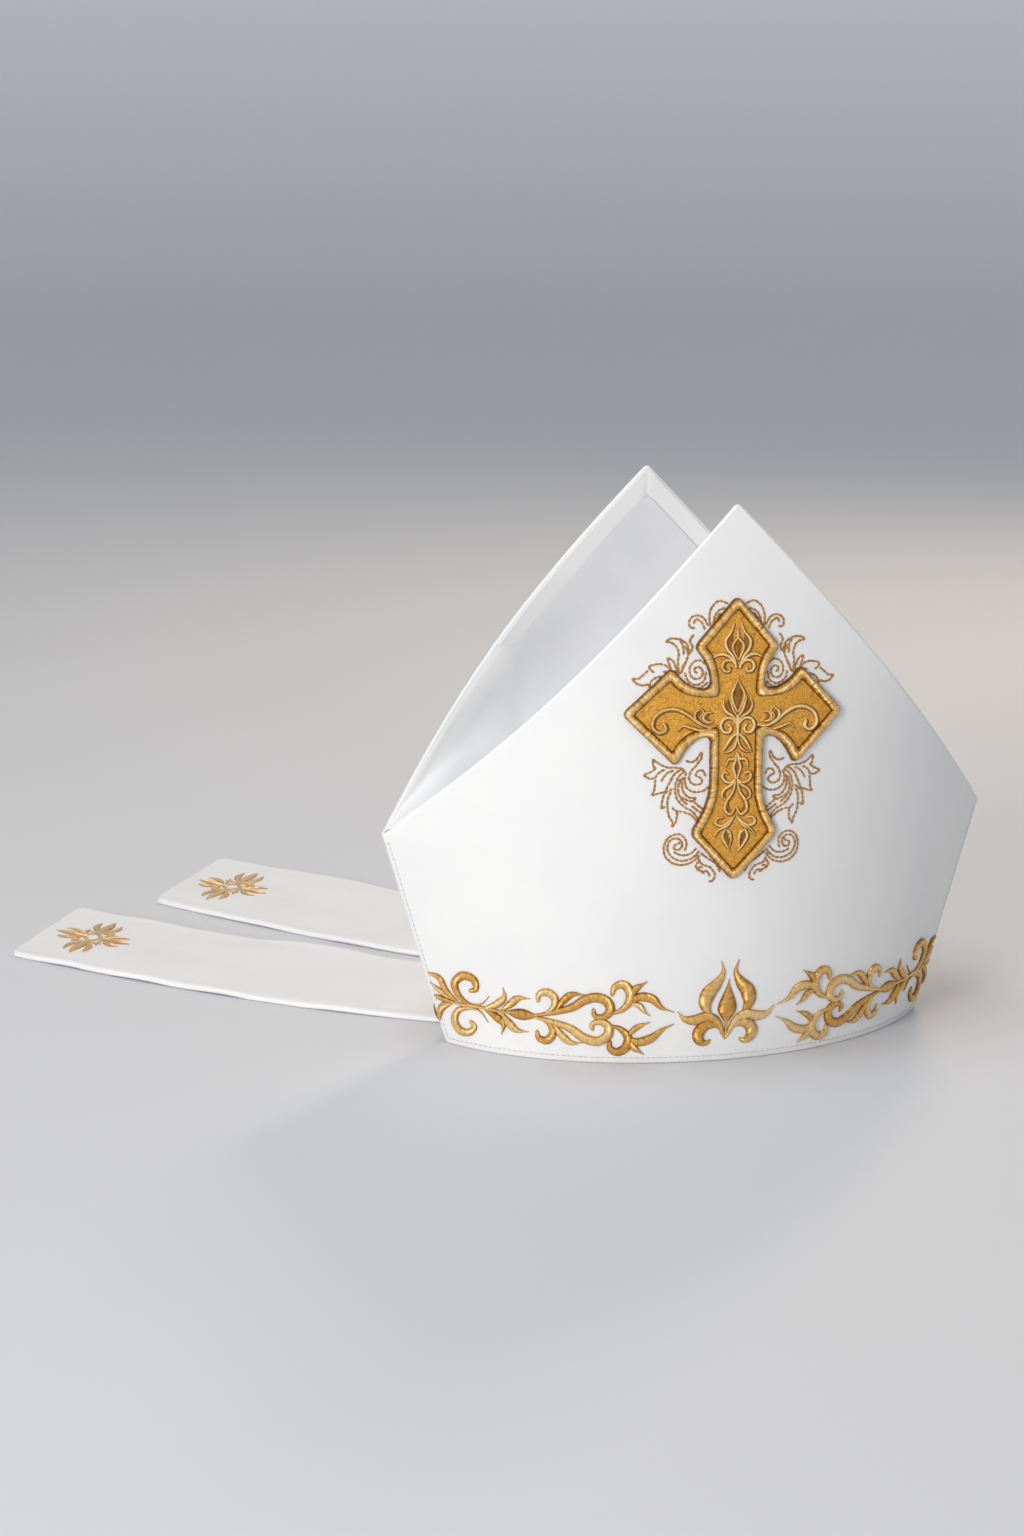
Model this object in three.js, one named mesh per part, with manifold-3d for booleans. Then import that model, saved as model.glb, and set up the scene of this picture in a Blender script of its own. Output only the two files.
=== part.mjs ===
// A bishop's mitre standing on its rim, with its two lappets laid out behind it.
// Millimetres, +Z up. The head opening is centred on X = Y = 0 with the front facing -Y while it
// is modelled, and the whole group is then centred on the floor.

import * as THREE from 'three';
import { mergeVertices } from 'three/addons/utils/BufferGeometryUtils.js';
import Module from 'manifold-3d';

const wasm = await Module();
wasm.setup();

// Panels: the front and back walls, seen straight on
const baseHalfWidth = 135.5; // half the width at the head opening
const cornerHalfWidth = 170; // half the width at the side corners
const cornerHeight = 118;
const apexHeight = 300.5; // where the two sloping rims would meet
const tipRadius = 2.8; // rounding of the peak
const rimBow = 0.04; // how far the sloping rims swell outwards
const upperFlare = 0.55; // how much of the side seams' slant goes on above the corners

// Panels: their bulge, seen from above
const baseDepth = 67.3;
const peakDepth = 79.2;
const bellyDepth = 12.3; // extra bulge half-way up
const baseBend = THREE.MathUtils.degToRad(65); // half-angle of the ellipse arc at each level
const cornerBend = THREE.MathUtils.degToRad(17.7);
const peakBend = THREE.MathUtils.degToRad(89);

const wall = 2.4; // stiffened cloth
const seamHalf = 1.2; // half the thickness where the two walls are sewn edge to edge
const gap = 0.3; // between touching pieces
const liningGap = 1.2; // between the wall's inner face and the gusset

// Facing: the cloth turned over the rim to the inside
const facingWidth = 12.5;
const facingWall = 0.8;
const facingEndHeight = 207;
const facingEdge = 1.2; // how far the facing stops short of the rim

// Gusset: the soft saddle between the two horns
const gussetHalfWidth = 162;
const gussetWall = 1;
const valleyRise = 34; // how far the valley's middle stands above the side corners
const gussetEdge = 2.5; // below the rim, where no facing is in the way
const gussetFacingGap = 3.5; // below the facing
const gussetPeakGap = 4; // below the facing's mitre

// Cross on the front
const crossRimWidth = 5;
const crossRimHeight = 3.2;
const crossFieldHeight = 1.8;
// The cross sits a touch off centre, and its arms run down very slightly to the right
const crossSeat = { shift: -1.5, widen: 1.015, middle: 178, lift: 0.8, stretch: 1.018, lean: 0.026 };

// Lappets
const lappetWall = 3.4;
const lappetRootStart = 0.72; // where a lappet's rows start to turn to follow the wall's foot
const lappetRootGap = 2; // clear of the flaring back wall

const clothWhite = new THREE.MeshStandardMaterial({ color: 0xf2f1ee, roughness: 0.62, metalness: 0 });
const liningWhite = new THREE.MeshStandardMaterial({ color: 0xe4e4e6, roughness: 0.7, metalness: 0 });
const brocadeGold = new THREE.MeshStandardMaterial({ color: 0xc98f32, roughness: 0.55, metalness: 0.2 });
const threadGold = new THREE.MeshStandardMaterial({ color: 0xd9a54a, roughness: 0.42, metalness: 0.3 });

const { lerp, smoothstep } = THREE.MathUtils;

// A closed body between two grids of points, each given by a function of column and row
function closedSheet(faceA, faceB, columns, rows) {
  const positions = [];
  for (const face of [faceA, faceB]) {
    for (let row = 0; row <= rows; row++) {
      for (let column = 0; column <= columns; column++) positions.push(...face(column, row));
    }
  }
  const perFace = (columns + 1) * (rows + 1);
  const at = (side, column, row) => side * perFace + row * (columns + 1) + column;
  const index = [];
  const quad = (a, b, c, d) => index.push(a, b, c, a, c, d);
  for (let row = 0; row < rows; row++) {
    for (let column = 0; column < columns; column++) {
      quad(at(0, column, row), at(0, column + 1, row), at(0, column + 1, row + 1), at(0, column, row + 1));
      quad(at(1, column, row), at(1, column, row + 1), at(1, column + 1, row + 1), at(1, column + 1, row));
    }
  }
  for (let column = 0; column < columns; column++) {
    quad(at(0, column, 0), at(1, column, 0), at(1, column + 1, 0), at(0, column + 1, 0));
    quad(at(0, column, rows), at(0, column + 1, rows), at(1, column + 1, rows), at(1, column, rows));
  }
  for (let row = 0; row < rows; row++) {
    quad(at(0, 0, row), at(0, 0, row + 1), at(1, 0, row + 1), at(1, 0, row));
    quad(at(0, columns, row), at(1, columns, row), at(1, columns, row + 1), at(0, columns, row + 1));
  }
  return outwardGeometry(positions, index);
}

// The triangles are turned round if they enclose a negative volume
function outwardGeometry(positions, index) {
  const corner = (i) => new THREE.Vector3().fromArray(positions, 3 * index[i]);
  let volume = 0;
  for (let i = 0; i < index.length; i += 3) {
    volume += corner(i).dot(corner(i + 1).cross(corner(i + 2)));
  }
  if (volume < 0) {
    for (let i = 0; i < index.length; i += 3) [index[i], index[i + 1]] = [index[i + 1], index[i]];
  }
  const geometry = new THREE.BufferGeometry();
  geometry.setAttribute('position', new THREE.Float32BufferAttribute(positions, 3));
  geometry.setIndex(index);
  geometry.computeVertexNormals();
  return geometry;
}

function toSolid(geometry) {
  const bare = geometry.clone();
  bare.deleteAttribute('normal');
  bare.deleteAttribute('uv');
  const merged = mergeVertices(bare, 1e-4);
  return new wasm.Manifold(new wasm.Mesh({
    numProp: 3,
    vertProperties: new Float32Array(merged.attributes.position.array),
    triVerts: new Uint32Array(merged.index.array),
  }));
}

function fromSolid(solid) {
  const mesh = solid.getMesh();
  return outwardGeometry(Array.from(mesh.vertProperties), Array.from(mesh.triVerts));
}

// Half the width, the bulge and the bend of the wall at a height
function sectionAt(z) {
  const seamSlant = (cornerHalfWidth - baseHalfWidth) / cornerHeight;
  const below = Math.min(z / cornerHeight, 1);
  const above = Math.max(z - cornerHeight, 0) / (apexHeight - cornerHeight);
  const level = z / apexHeight;
  const slanted = Math.min(z, cornerHeight) + upperFlare * Math.max(z - cornerHeight, 0);
  return {
    halfWidth: baseHalfWidth + seamSlant * slanted,
    depth: lerp(baseDepth, peakDepth, level) + 4 * bellyDepth * level * (1 - level),
    bend: lerp(baseBend, cornerBend, below) + (peakBend - cornerBend) * above,
  };
}

// The front wall's outer face: how far it stands out from the seams, and its slope in plan
function bulgeAt(x, z) {
  const { halfWidth, depth, bend } = sectionAt(z);
  const turn = THREE.MathUtils.clamp((x / halfWidth) * Math.sin(bend), -0.9999, 0.9999);
  const root = Math.sqrt(1 - turn * turn);
  const scale = depth / (1 - Math.cos(bend));
  const slope = (scale * turn * Math.sin(bend)) / (halfWidth * root);
  return { reach: seamHalf + scale * (root - Math.cos(bend)), slope, stretch: Math.hypot(1, slope) };
}

// A point of the front wall, moved outwards by offset along the level section's normal
function wallPoint(x, z, offset) {
  const { reach, slope, stretch } = bulgeAt(x, z);
  return [x + (offset * slope) / stretch, Math.min(-reach - offset / stretch, -gap / 2), z];
}

// Height of the sloping rim above a distance from the centre line, and the other way round
function rimHeight(x) {
  const part = Math.abs(x) / cornerHalfWidth;
  return lerp(cornerHeight, apexHeight, (1 - part) * (1 + rimBow * part));
}

const peakSlant = Math.atan((cornerHalfWidth * (1 + rimBow)) / (apexHeight - cornerHeight));
const tipCentre = apexHeight - tipRadius / Math.sin(peakSlant);
const tipStart = tipCentre + tipRadius * Math.sin(peakSlant);

function outlineHalfWidth(z) {
  if (z <= cornerHeight) return sectionAt(z).halfWidth;
  if (z >= tipStart) return Math.sqrt(Math.max(tipRadius ** 2 - (z - tipCentre) ** 2, 0));
  const rise = (z - cornerHeight) / (apexHeight - cornerHeight);
  const straight = 1 - rimBow;
  const part = (Math.sqrt(straight ** 2 + 4 * rimBow * (1 - rise)) - straight) / (2 * rimBow);
  return part * cornerHalfWidth;
}

const mirrorBack = ([x, y, z], side) => [x, side === 'back' ? -y : y, z];

// Front or back wall: rows follow the level sections from the flat base up to the rounded peak
function wallGeometry(side) {
  const levels = [];
  const lowerRows = 4;
  const upperRows = 9;
  const belowTip = 6; // the last wide row stands this far below the tip's rounding
  for (let i = 0; i < lowerRows; i++) levels.push((cornerHeight * i) / lowerRows);
  const lastWide = tipStart - belowTip;
  for (let i = 0; i < upperRows; i++) levels.push(lerp(cornerHeight, lastWide, i / (upperRows - 1)));
  levels.push(tipStart, tipCentre + 0.86 * tipRadius);
  const columns = 16;
  const face = (offset) => (column, row) => {
    const across = Math.sin(((2 * column) / columns - 1) * baseBend) / Math.sin(baseBend);
    return mirrorBack(wallPoint(across * outlineHalfWidth(levels[row]), levels[row], offset), side);
  };
  return closedSheet(face(0), face(-wall), columns, levels.length - 1);
}

// A slab that follows the wall between two offsets, cut to an outline drawn on the front view,
// with an opening cut out of it if one is given
function appliqueGeometry({ outline, opening, box, offsets, side, grid }) {
  const face = (offset) => (column, row) => mirrorBack(wallPoint(
    lerp(box.min.x, box.max.x, column / grid.columns),
    lerp(box.min.y, box.max.y, row / grid.rows),
    offset,
  ), side);
  const punch = (points) => {
    const depth = 2 * peakDepth;
    const prism = new THREE.ExtrudeGeometry(new THREE.Shape(points), { depth, bevelEnabled: false });
    prism.rotateX(Math.PI / 2);
    if (side === 'back') prism.translate(0, depth, 0);
    return toSolid(prism);
  };
  const slab = toSolid(closedSheet(face(offsets[0]), face(offsets[1]), grid.columns, grid.rows));
  const piece = slab.intersect(punch(outline));
  return fromSolid(opening ? piece.subtract(punch(opening)) : piece);
}

// The facing's width, measured straight down from the rim
const facingDrop = facingWidth * Math.hypot(1, (apexHeight - cornerHeight) / cornerHalfWidth);

// Facing: a band inside the rim of one horn, mitred at the peak
function facingGeometry(side) {
  // how far out a line that runs a given drop below the rim is at a height
  const halfAt = (z, drop) => {
    const search = 0.25;
    let x = 0;
    while (rimHeight(x) - drop > z) x += search;
    return x;
  };
  const outer = [];
  const inner = [];
  for (const z of [facingEndHeight, 240, 270]) {
    outer.push([halfAt(z, facingEdge), z]);
    inner.push([halfAt(z, facingDrop), z]);
  }
  const peakHeight = apexHeight - 4;
  const peakHalf = 1.5;
  const right = [...outer, [peakHalf, peakHeight]];
  const left = right.map(([x, z]) => [-x, z]).reverse();
  const insideLeft = inner.map(([x, z]) => [-x, z]);
  const insideRight = inner.slice().reverse();
  const outline = [...right, ...left, ...insideLeft, [0, apexHeight - facingDrop], ...insideRight]
    .map(([x, z]) => new THREE.Vector2(x, z));
  const box = new THREE.Box2().setFromPoints(outline).expandByScalar(1);
  const nearWall = -(wall + 2 * gap);
  const offsets = [nearWall, nearWall - facingWall];
  return appliqueGeometry({ outline, box, offsets, side, grid: { columns: 10, rows: 6 } });
}

// Gusset: a U-shaped valley between the horns, highest along the rims and lowest on Y = 0
function gussetPoint(along, across) {
  const x = along * gussetHalfWidth;
  const rim = rimHeight(x);
  // from beside the facing's end to below the facing
  const passing = smoothstep(rim, facingEndHeight - 4, facingEndHeight + 10);
  const margin = lerp(gussetEdge, facingDrop + gussetFacingGap, passing);
  const top = Math.min(rim - margin, apexHeight - facingDrop - gussetPeakGap);
  const valley = cornerHeight + valleyRise * (1 - (x / cornerHalfWidth) ** 4);
  const climb = Math.abs(across);
  const z = lerp(valley, top, climb * climb);
  const { reach, stretch } = bulgeAt(x, z);
  const inside = reach - (wall + liningGap) * stretch;
  return new THREE.Vector3(x, Math.sign(across) * inside * (1 - (1 - climb) ** 3), z);
}

function gussetGeometry() {
  const columns = 20;
  const rows = 12;
  const step = 0.01;
  const crowding = 1.2; // radians: brings the columns closer together towards the corners
  const face = (offset) => (column, row) => {
    const along = Math.sin(((2 * column) / columns - 1) * crowding) / Math.sin(crowding);
    const across = (2 * row) / rows - 1;
    const tangentAlong = gussetPoint(along + step, across).sub(gussetPoint(along - step, across));
    const tangentAcross = gussetPoint(along, across + step).sub(gussetPoint(along, across - step));
    const normal = tangentAlong.cross(tangentAcross).normalize();
    return gussetPoint(along, across).addScaledVector(normal, offset).toArray();
  };
  return closedSheet(face(gussetWall / 2), face(-gussetWall / 2), columns, rows);
}

// Cross outline, right half from the top down; a third value marks the pull of a concave curve
const crossHalf = [
  [0, 251.7], [23.2, 225.2], [14.2, 217.5, 'pull'], [14.2, 204.5], [26.4, 203.4, 'pull'], [33.7, 215.8],
  [58.8, 190.8], [30.8, 163.3], [25.2, 179.8, 'pull'], [14.2, 180], [14, 155], [14.6, 142.6, 'pull'],
  [23.8, 129.2], [0, 102.9],
];

function seatCross({ x, y }) {
  const { shift, widen, middle, lift, stretch, lean } = crossSeat;
  return new THREE.Vector2(x * widen + shift, middle + (y - middle) * stretch - lean * x + lift);
}

// The whole outline, moved inwards by inset
function crossOutline(inset) {
  const mirrored = crossHalf.slice(1, -1).reverse().map(([x, y, mark]) => [-x, y, mark]);
  const marks = [...crossHalf, ...mirrored];
  const corners = marks.map(([x, y]) => new THREE.Vector2(x, y));
  const inward = (from, to) => {
    const side = to.clone().sub(from).normalize();
    return new THREE.Vector2(side.y, -side.x);
  };
  const moved = corners.map((corner, i) => {
    const before = corners[(i + corners.length - 1) % corners.length];
    const after = corners[(i + 1) % corners.length];
    const sum = inward(before, corner).add(inward(corner, after));
    return corner.clone().addScaledVector(sum, (2 * inset) / sum.lengthSq());
  });
  const path = new THREE.Path();
  path.moveTo(moved[0].x, moved[0].y);
  for (let i = 1; i <= moved.length; i++) {
    const here = moved[i % moved.length];
    if (marks[i % moved.length][2] !== 'pull') path.lineTo(here.x, here.y);
    else {
      const next = moved[(i + 1) % moved.length];
      path.quadraticCurveTo(here.x, here.y, next.x, next.y);
      i += 1;
    }
  }
  return path.getPoints(4).slice(0, -1).map(seatCross);
}

function crossGeometry(outline, opening, height) {
  const box = new THREE.Box2().setFromPoints(outline).expandByScalar(1);
  return appliqueGeometry({
    outline, opening, box, offsets: [gap, height], side: 'front', grid: { columns: 8, rows: 8 },
  });
}

// Lappet: a flat strip whose two long edges are curves on the floor. Its root follows the foot of
// the back wall, and its free end is cut straight.
function lappetGeometry({ lowerEdge, upperEdge }) {
  const columns = 8;
  const rows = 14;
  const curve = (points) => new THREE.CubicBezierCurve(...points.map(([x, y]) => new THREE.Vector2(x, y)));
  const lower = curve(lowerEdge);
  const upper = curve(upperEdge);
  const face = (z) => (column, row) => {
    const across = column / columns;
    const along = row / rows;
    const straight = lower.getPoint(along).lerp(upper.getPoint(along), across);
    const rootX = lerp(lower.getPoint(1).x, upper.getPoint(1).x, across);
    const foot = mirrorBack(wallPoint(rootX, 0, lappetRootGap), 'back');
    const toRoot = smoothstep(along, lappetRootStart, 1);
    return [lerp(straight.x, foot[0], toRoot), lerp(straight.y, foot[1], toRoot), z];
  };
  return closedSheet(face(lappetWall), face(0), columns, rows);
}

const lappets = {
  near_lappet: {
    lowerEdge: [[-345, 226], [-278, 150], [-203, 72], [-117, 25]],
    upperEdge: [[-292, 319], [-228, 238], [-112, 138], [-14, 69]],
  },
  far_lappet: {
    lowerEdge: [[-245, 325], [-188, 243], [-102, 142], [-6, 70]],
    upperEdge: [[-186, 420], [-110, 330], [20, 180], [88, 52]],
  },
};

const mitre = new THREE.Group();

function addPiece(name, geometry, material) {
  const mesh = new THREE.Mesh(geometry, material.clone());
  mesh.name = name;
  mitre.add(mesh);
}

for (const side of ['front', 'back']) {
  addPiece(`${side}_panel`, wallGeometry(side), clothWhite);
  addPiece(`${side}_facing`, facingGeometry(side), clothWhite);
}
addPiece('gusset', gussetGeometry(), liningWhite);

const fieldOutline = crossOutline(crossRimWidth + gap);
addPiece('cross_field', crossGeometry(fieldOutline, null, crossFieldHeight), brocadeGold);
const borderGeometry = crossGeometry(crossOutline(0), crossOutline(crossRimWidth), crossRimHeight);
addPiece('cross_border', borderGeometry, threadGold);

for (const [name, edges] of Object.entries(lappets)) addPiece(name, lappetGeometry(edges), clothWhite);

// Centre the whole object on the floor
mitre.updateMatrixWorld(true);
const middle = new THREE.Box3().setFromObject(mitre, true).getCenter(new THREE.Vector3());
mitre.position.set(-middle.x, -middle.y, 0);

export default mitre;
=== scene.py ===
# A bishop's mitre in white satin with gold embroidery, its two lappets laid out behind it.
import bmesh
import bpy
import math
import random
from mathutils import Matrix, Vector, noise


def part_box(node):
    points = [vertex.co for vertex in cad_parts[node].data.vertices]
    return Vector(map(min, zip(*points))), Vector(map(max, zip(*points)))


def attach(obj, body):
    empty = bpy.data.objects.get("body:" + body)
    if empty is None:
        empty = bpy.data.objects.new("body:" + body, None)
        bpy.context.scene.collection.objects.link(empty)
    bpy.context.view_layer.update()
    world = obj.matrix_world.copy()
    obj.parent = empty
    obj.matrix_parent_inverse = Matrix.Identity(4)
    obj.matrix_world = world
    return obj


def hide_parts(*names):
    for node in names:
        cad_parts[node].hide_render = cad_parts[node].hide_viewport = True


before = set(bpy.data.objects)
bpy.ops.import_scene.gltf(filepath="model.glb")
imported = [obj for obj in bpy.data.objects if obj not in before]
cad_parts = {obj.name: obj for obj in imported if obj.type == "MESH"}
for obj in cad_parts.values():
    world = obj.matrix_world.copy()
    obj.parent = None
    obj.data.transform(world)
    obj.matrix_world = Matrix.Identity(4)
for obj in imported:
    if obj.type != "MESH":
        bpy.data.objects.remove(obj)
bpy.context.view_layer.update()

random.seed(12)

# Shapes are worked out in millimetres around the centre of the head opening, the front facing -Y
frontLow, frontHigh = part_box("front_panel")
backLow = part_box("back_panel")[0]
centreX = (frontLow.x + frontHigh.x) / 2
seamY = (frontHigh.y + backLow.y) / 2


def toScene(point):
    return (centreX + point[0] / 1000, seamY + point[1] / 1000, point[2] / 1000)


def lerp(a, b, t):
    return a + (b - a) * t


def clamp(value, low=0.0, high=1.0):
    return max(low, min(high, value))


def smoothstep(value, low, high):
    t = clamp((value - low) / (high - low))
    return t * t * (3 - 2 * t)


# The wall's shape, as in the part's source
shape = dict(
    baseHalfWidth=135.5, cornerHalfWidth=170, cornerHeight=118, apexHeight=300.5, tipRadius=2.8,
    rimBow=0.04, upperFlare=0.55, baseDepth=67.3, peakDepth=79.2, bellyDepth=12.3,
    baseBend=65, cornerBend=17.7, peakBend=89, wall=2.4, seamHalf=1.2,
)
# The cloth's slight unevenness, which fades out at the seams and the foot
ripple = dict(depth=0.35, across=55, up=70, seed=dict(front=3, back=9), fromSeam=(4, 40), fromFoot=(0, 25))
slopeRise = shape["apexHeight"] - shape["cornerHeight"]


def sectionAt(z):
    corner = shape["cornerHeight"]
    seamSlant = (shape["cornerHalfWidth"] - shape["baseHalfWidth"]) / corner
    below = min(z / corner, 1)
    above = max(z - corner, 0) / slopeRise
    level = z / shape["apexHeight"]
    widening = min(z, corner) + shape["upperFlare"] * max(z - corner, 0)
    halfWidth = shape["baseHalfWidth"] + seamSlant * widening
    belly = 4 * shape["bellyDepth"] * level * (1 - level)
    depth = lerp(shape["baseDepth"], shape["peakDepth"], level) + belly
    bend = lerp(shape["baseBend"], shape["cornerBend"], below)
    bend += (shape["peakBend"] - shape["cornerBend"]) * above
    return halfWidth, depth, math.radians(bend)


# How far the wall stands out from the seams, its slope in plan, and the true length per unit of x
def bulgeAt(x, z):
    halfWidth, depth, bend = sectionAt(z)
    turn = clamp(x / halfWidth * math.sin(bend), -0.9999, 0.9999)
    root = math.sqrt(1 - turn * turn)
    scale = depth / (1 - math.cos(bend))
    slope = scale * turn * math.sin(bend) / (halfWidth * root)
    return shape["seamHalf"] + scale * (root - math.cos(bend)), slope, math.hypot(1, slope)


def rippleAt(x, z, side):
    calm = smoothstep(sectionAt(z)[0] - abs(x), *ripple["fromSeam"]) * smoothstep(z, *ripple["fromFoot"])
    place = Vector((x / ripple["across"], z / ripple["up"], ripple["seed"][side]))
    return ripple["depth"] * calm * noise.noise(place)


def wallPoint(x, z, offset, side="front"):
    reach, slope, stretch = bulgeAt(x, z)
    offset += rippleAt(x, z, side)
    y = min(-reach - offset / stretch, -0.15)  # never past the plane of the seams
    return (x + offset * slope / stretch, y if side == "front" else -y, z)


def rimHeight(x):
    part = abs(x) / shape["cornerHalfWidth"]
    return lerp(shape["cornerHeight"], shape["apexHeight"], (1 - part) * (1 + shape["rimBow"] * part))


# Length along the level section from the centre line, kept in tables at even heights
arcTables = {}
arcSpacing = 2
arcSteps = 160


def arcTable(z):
    if z not in arcTables:
        halfWidth = sectionAt(z)[0]
        table = [(0.0, 0.0)]
        for i in range(arcSteps):
            length = table[-1][1] + bulgeAt((i + 0.5) / arcSteps * halfWidth, z)[2] * halfWidth / arcSteps
            table.append(((i + 1) / arcSteps * halfWidth, length))
        arcTables[z] = table
    return arcTables[z]


def fromTable(table, value, given, wanted):
    low, high = 0, len(table) - 1
    if value >= table[high][given]:
        return table[high][wanted] + value - table[high][given]
    while high - low > 1:
        middle = (low + high) // 2
        if table[middle][given] > value:
            high = middle
        else:
            low = middle
    share = (value - table[low][given]) / (table[high][given] - table[low][given])
    return lerp(table[low][wanted], table[high][wanted], share)


def throughTables(value, z, given, wanted):
    size = abs(value)
    lower = arcSpacing * math.floor(max(z, 0) / arcSpacing)
    found = lerp(fromTable(arcTable(lower), size, given, wanted),
                 fromTable(arcTable(lower + arcSpacing), size, given, wanted), (z - lower) / arcSpacing)
    return math.copysign(found, value)


def lengthAt(x, z):
    return throughTables(x, z, 0, 1)


def acrossAt(length, z):
    return throughTables(length, z, 1, 0)


# Points are in millimetres; uvs are in centimetres, so that weave and threads keep their scale
def buildPiece(name, points, faces, material, uvs=None, tones=None, smoothAngle=50, edges=None):
    mesh = bpy.data.meshes.new(name)
    mesh.from_pydata([toScene(p) for p in points], [], faces)
    if uvs:
        layer = mesh.uv_layers.new(name="cloth")
        for loop in mesh.loops:
            layer.data[loop.index].uv = uvs[loop.vertex_index]
    if tones:
        mesh.attributes.new("tone", "FLOAT", "POINT").data.foreach_set("value", tones)
    if edges:
        mesh.attributes.new("edge", "FLOAT", "POINT").data.foreach_set("value", edges)
    shell = bmesh.new()
    shell.from_mesh(mesh)
    if shell.calc_volume(signed=True) < 0:  # the form is inside out
        bmesh.ops.reverse_faces(shell, faces=shell.faces)
    shell.to_mesh(mesh)
    shell.free()
    piece = bpy.data.objects.new(name, mesh)
    bpy.context.collection.objects.link(piece)
    piece.data.materials.append(material)
    bpy.ops.object.select_all(action="DESELECT")
    piece.select_set(True)
    bpy.context.view_layer.objects.active = piece
    bpy.ops.object.shade_smooth_by_angle(angle=math.radians(smoothAngle))
    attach(piece, "root")
    return piece


def ringFaces(near, far):
    ends = [(i, (i + 1) % len(near)) for i in range(len(near))]
    return [(near[i], far[i], far[k], near[k]) for i, k in ends]


turnedEdge = (36, 72, 108, 144)  # steps round the edge of a sheet, in degrees


# A closed sheet of cloth with a rounded, turned edge. grid[row][column] is a place (a, b) on the
# cloth, already half a wall inside its outline; edgeWay gives the outward way there
def softSheet(grid, edgeWay, pointAt, wall):
    rows, columns = len(grid), len(grid[0])
    points, uvs, faces = [], [], []

    def put(a, b, offset):
        points.append(pointAt(a, b, offset))
        uvs.append((a / 10, b / 10))
        return len(points) - 1

    outer = [[put(a, b, 0) for a, b in row] for row in grid]
    inner = [[put(a, b, -wall) for a, b in row] for row in grid]
    for r in range(rows - 1):
        for c in range(columns - 1):
            faces.append((outer[r][c], outer[r][c + 1], outer[r + 1][c + 1], outer[r + 1][c]))
            faces.append((inner[r][c], inner[r + 1][c], inner[r + 1][c + 1], inner[r][c + 1]))
    loop = [(0, c) for c in range(columns)] + [(r, columns - 1) for r in range(1, rows)]
    loop += [(rows - 1, c) for c in range(columns - 2, -1, -1)] + [(r, 0) for r in range(rows - 2, 0, -1)]
    half = wall / 2
    rings = [[outer[r][c] for r, c in loop]]
    for angle in turnedEdge:
        swing = math.radians(angle)
        ring = []
        for r, c in loop:
            a, b = grid[r][c]
            wayA, wayB = edgeWay(r, c)
            out = half * math.sin(swing)
            ring.append(put(a + wayA * out, b + wayB * out, -half + half * math.cos(swing)))
        rings.append(ring)
    rings.append([inner[r][c] for r, c in loop])
    for near, far in zip(rings, rings[1:]):
        faces += ringFaces(near, far)
    return points, faces, uvs


# A smooth line through (a, b) points, stepped evenly: gives (a, b, share of length) triples
def smoothLine(points, step):
    count = len(points)
    chords = [math.dist(points[i], points[i + 1]) or 1e-6 for i in range(count - 1)]
    ways = []
    for i in range(count):
        if i == 0 or i == count - 1:
            k = 0 if i == 0 else count - 2
            ways.append([(points[k + 1][n] - points[k][n]) / chords[k] for n in (0, 1)])
        else:
            before, after = chords[i - 1], chords[i]
            ways.append([(
                (points[i][n] - points[i - 1][n]) / before * after
                + (points[i + 1][n] - points[i][n]) / after * before
            ) / (before + after) for n in (0, 1)])
    fine = []
    for i in range(count - 1):
        pieces = max(6, math.ceil(chords[i] / 0.4))  # finer than any stroke is stepped
        for k in range(pieces + (i == count - 2)):
            t = k / pieces
            h00, h10 = 2 * t**3 - 3 * t**2 + 1, t**3 - 2 * t**2 + t
            h01, h11 = -2 * t**3 + 3 * t**2, t**3 - t**2
            fine.append([h00 * points[i][n] + h10 * chords[i] * ways[i][n] + h01 * points[i + 1][n]
                         + h11 * chords[i] * ways[i + 1][n] for n in (0, 1)])
    run = [0.0]
    for i in range(len(fine) - 1):
        run.append(run[-1] + math.dist(fine[i], fine[i + 1]))
    total = run[-1]
    steps = max(2, round(total / step))
    line, k = [], 0
    for i in range(steps + 1):
        wanted = total * i / steps
        while k < len(run) - 2 and run[k + 1] < wanted:
            k += 1
        share = clamp((wanted - run[k]) / ((run[k + 1] - run[k]) or 1e-6))
        line.append((*(lerp(fine[k][n], fine[k + 1][n], share) for n in (0, 1)), i / steps))
    return line, total


strokeForm = dict(
    pointed=0.65,  # an end narrower than this tapers to a point, a wider one stays blunt
    liftSpread=0.12,  # strokes lie a little over and under each other
    lumpy=0.0,  # unevenness along a stroke
    thinRise=0.35,  # how much of the rise a thin place keeps
    # tipEdge is the edge value at a stroke's tips, where the thread colour gets painted shade
    roundness=0.8, tipReach=0.45, tipLift=0.1, tipEdge=0.8, slant=0.35,
)


# How wide a stroke is part of the way from one end to its widest place
def swell(tip, peak, share):
    pointed = tip < strokeForm["pointed"]
    return lerp(tip, peak, smoothstep(share, 0, 1) if pointed else math.sin(share * math.pi / 2))


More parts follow.
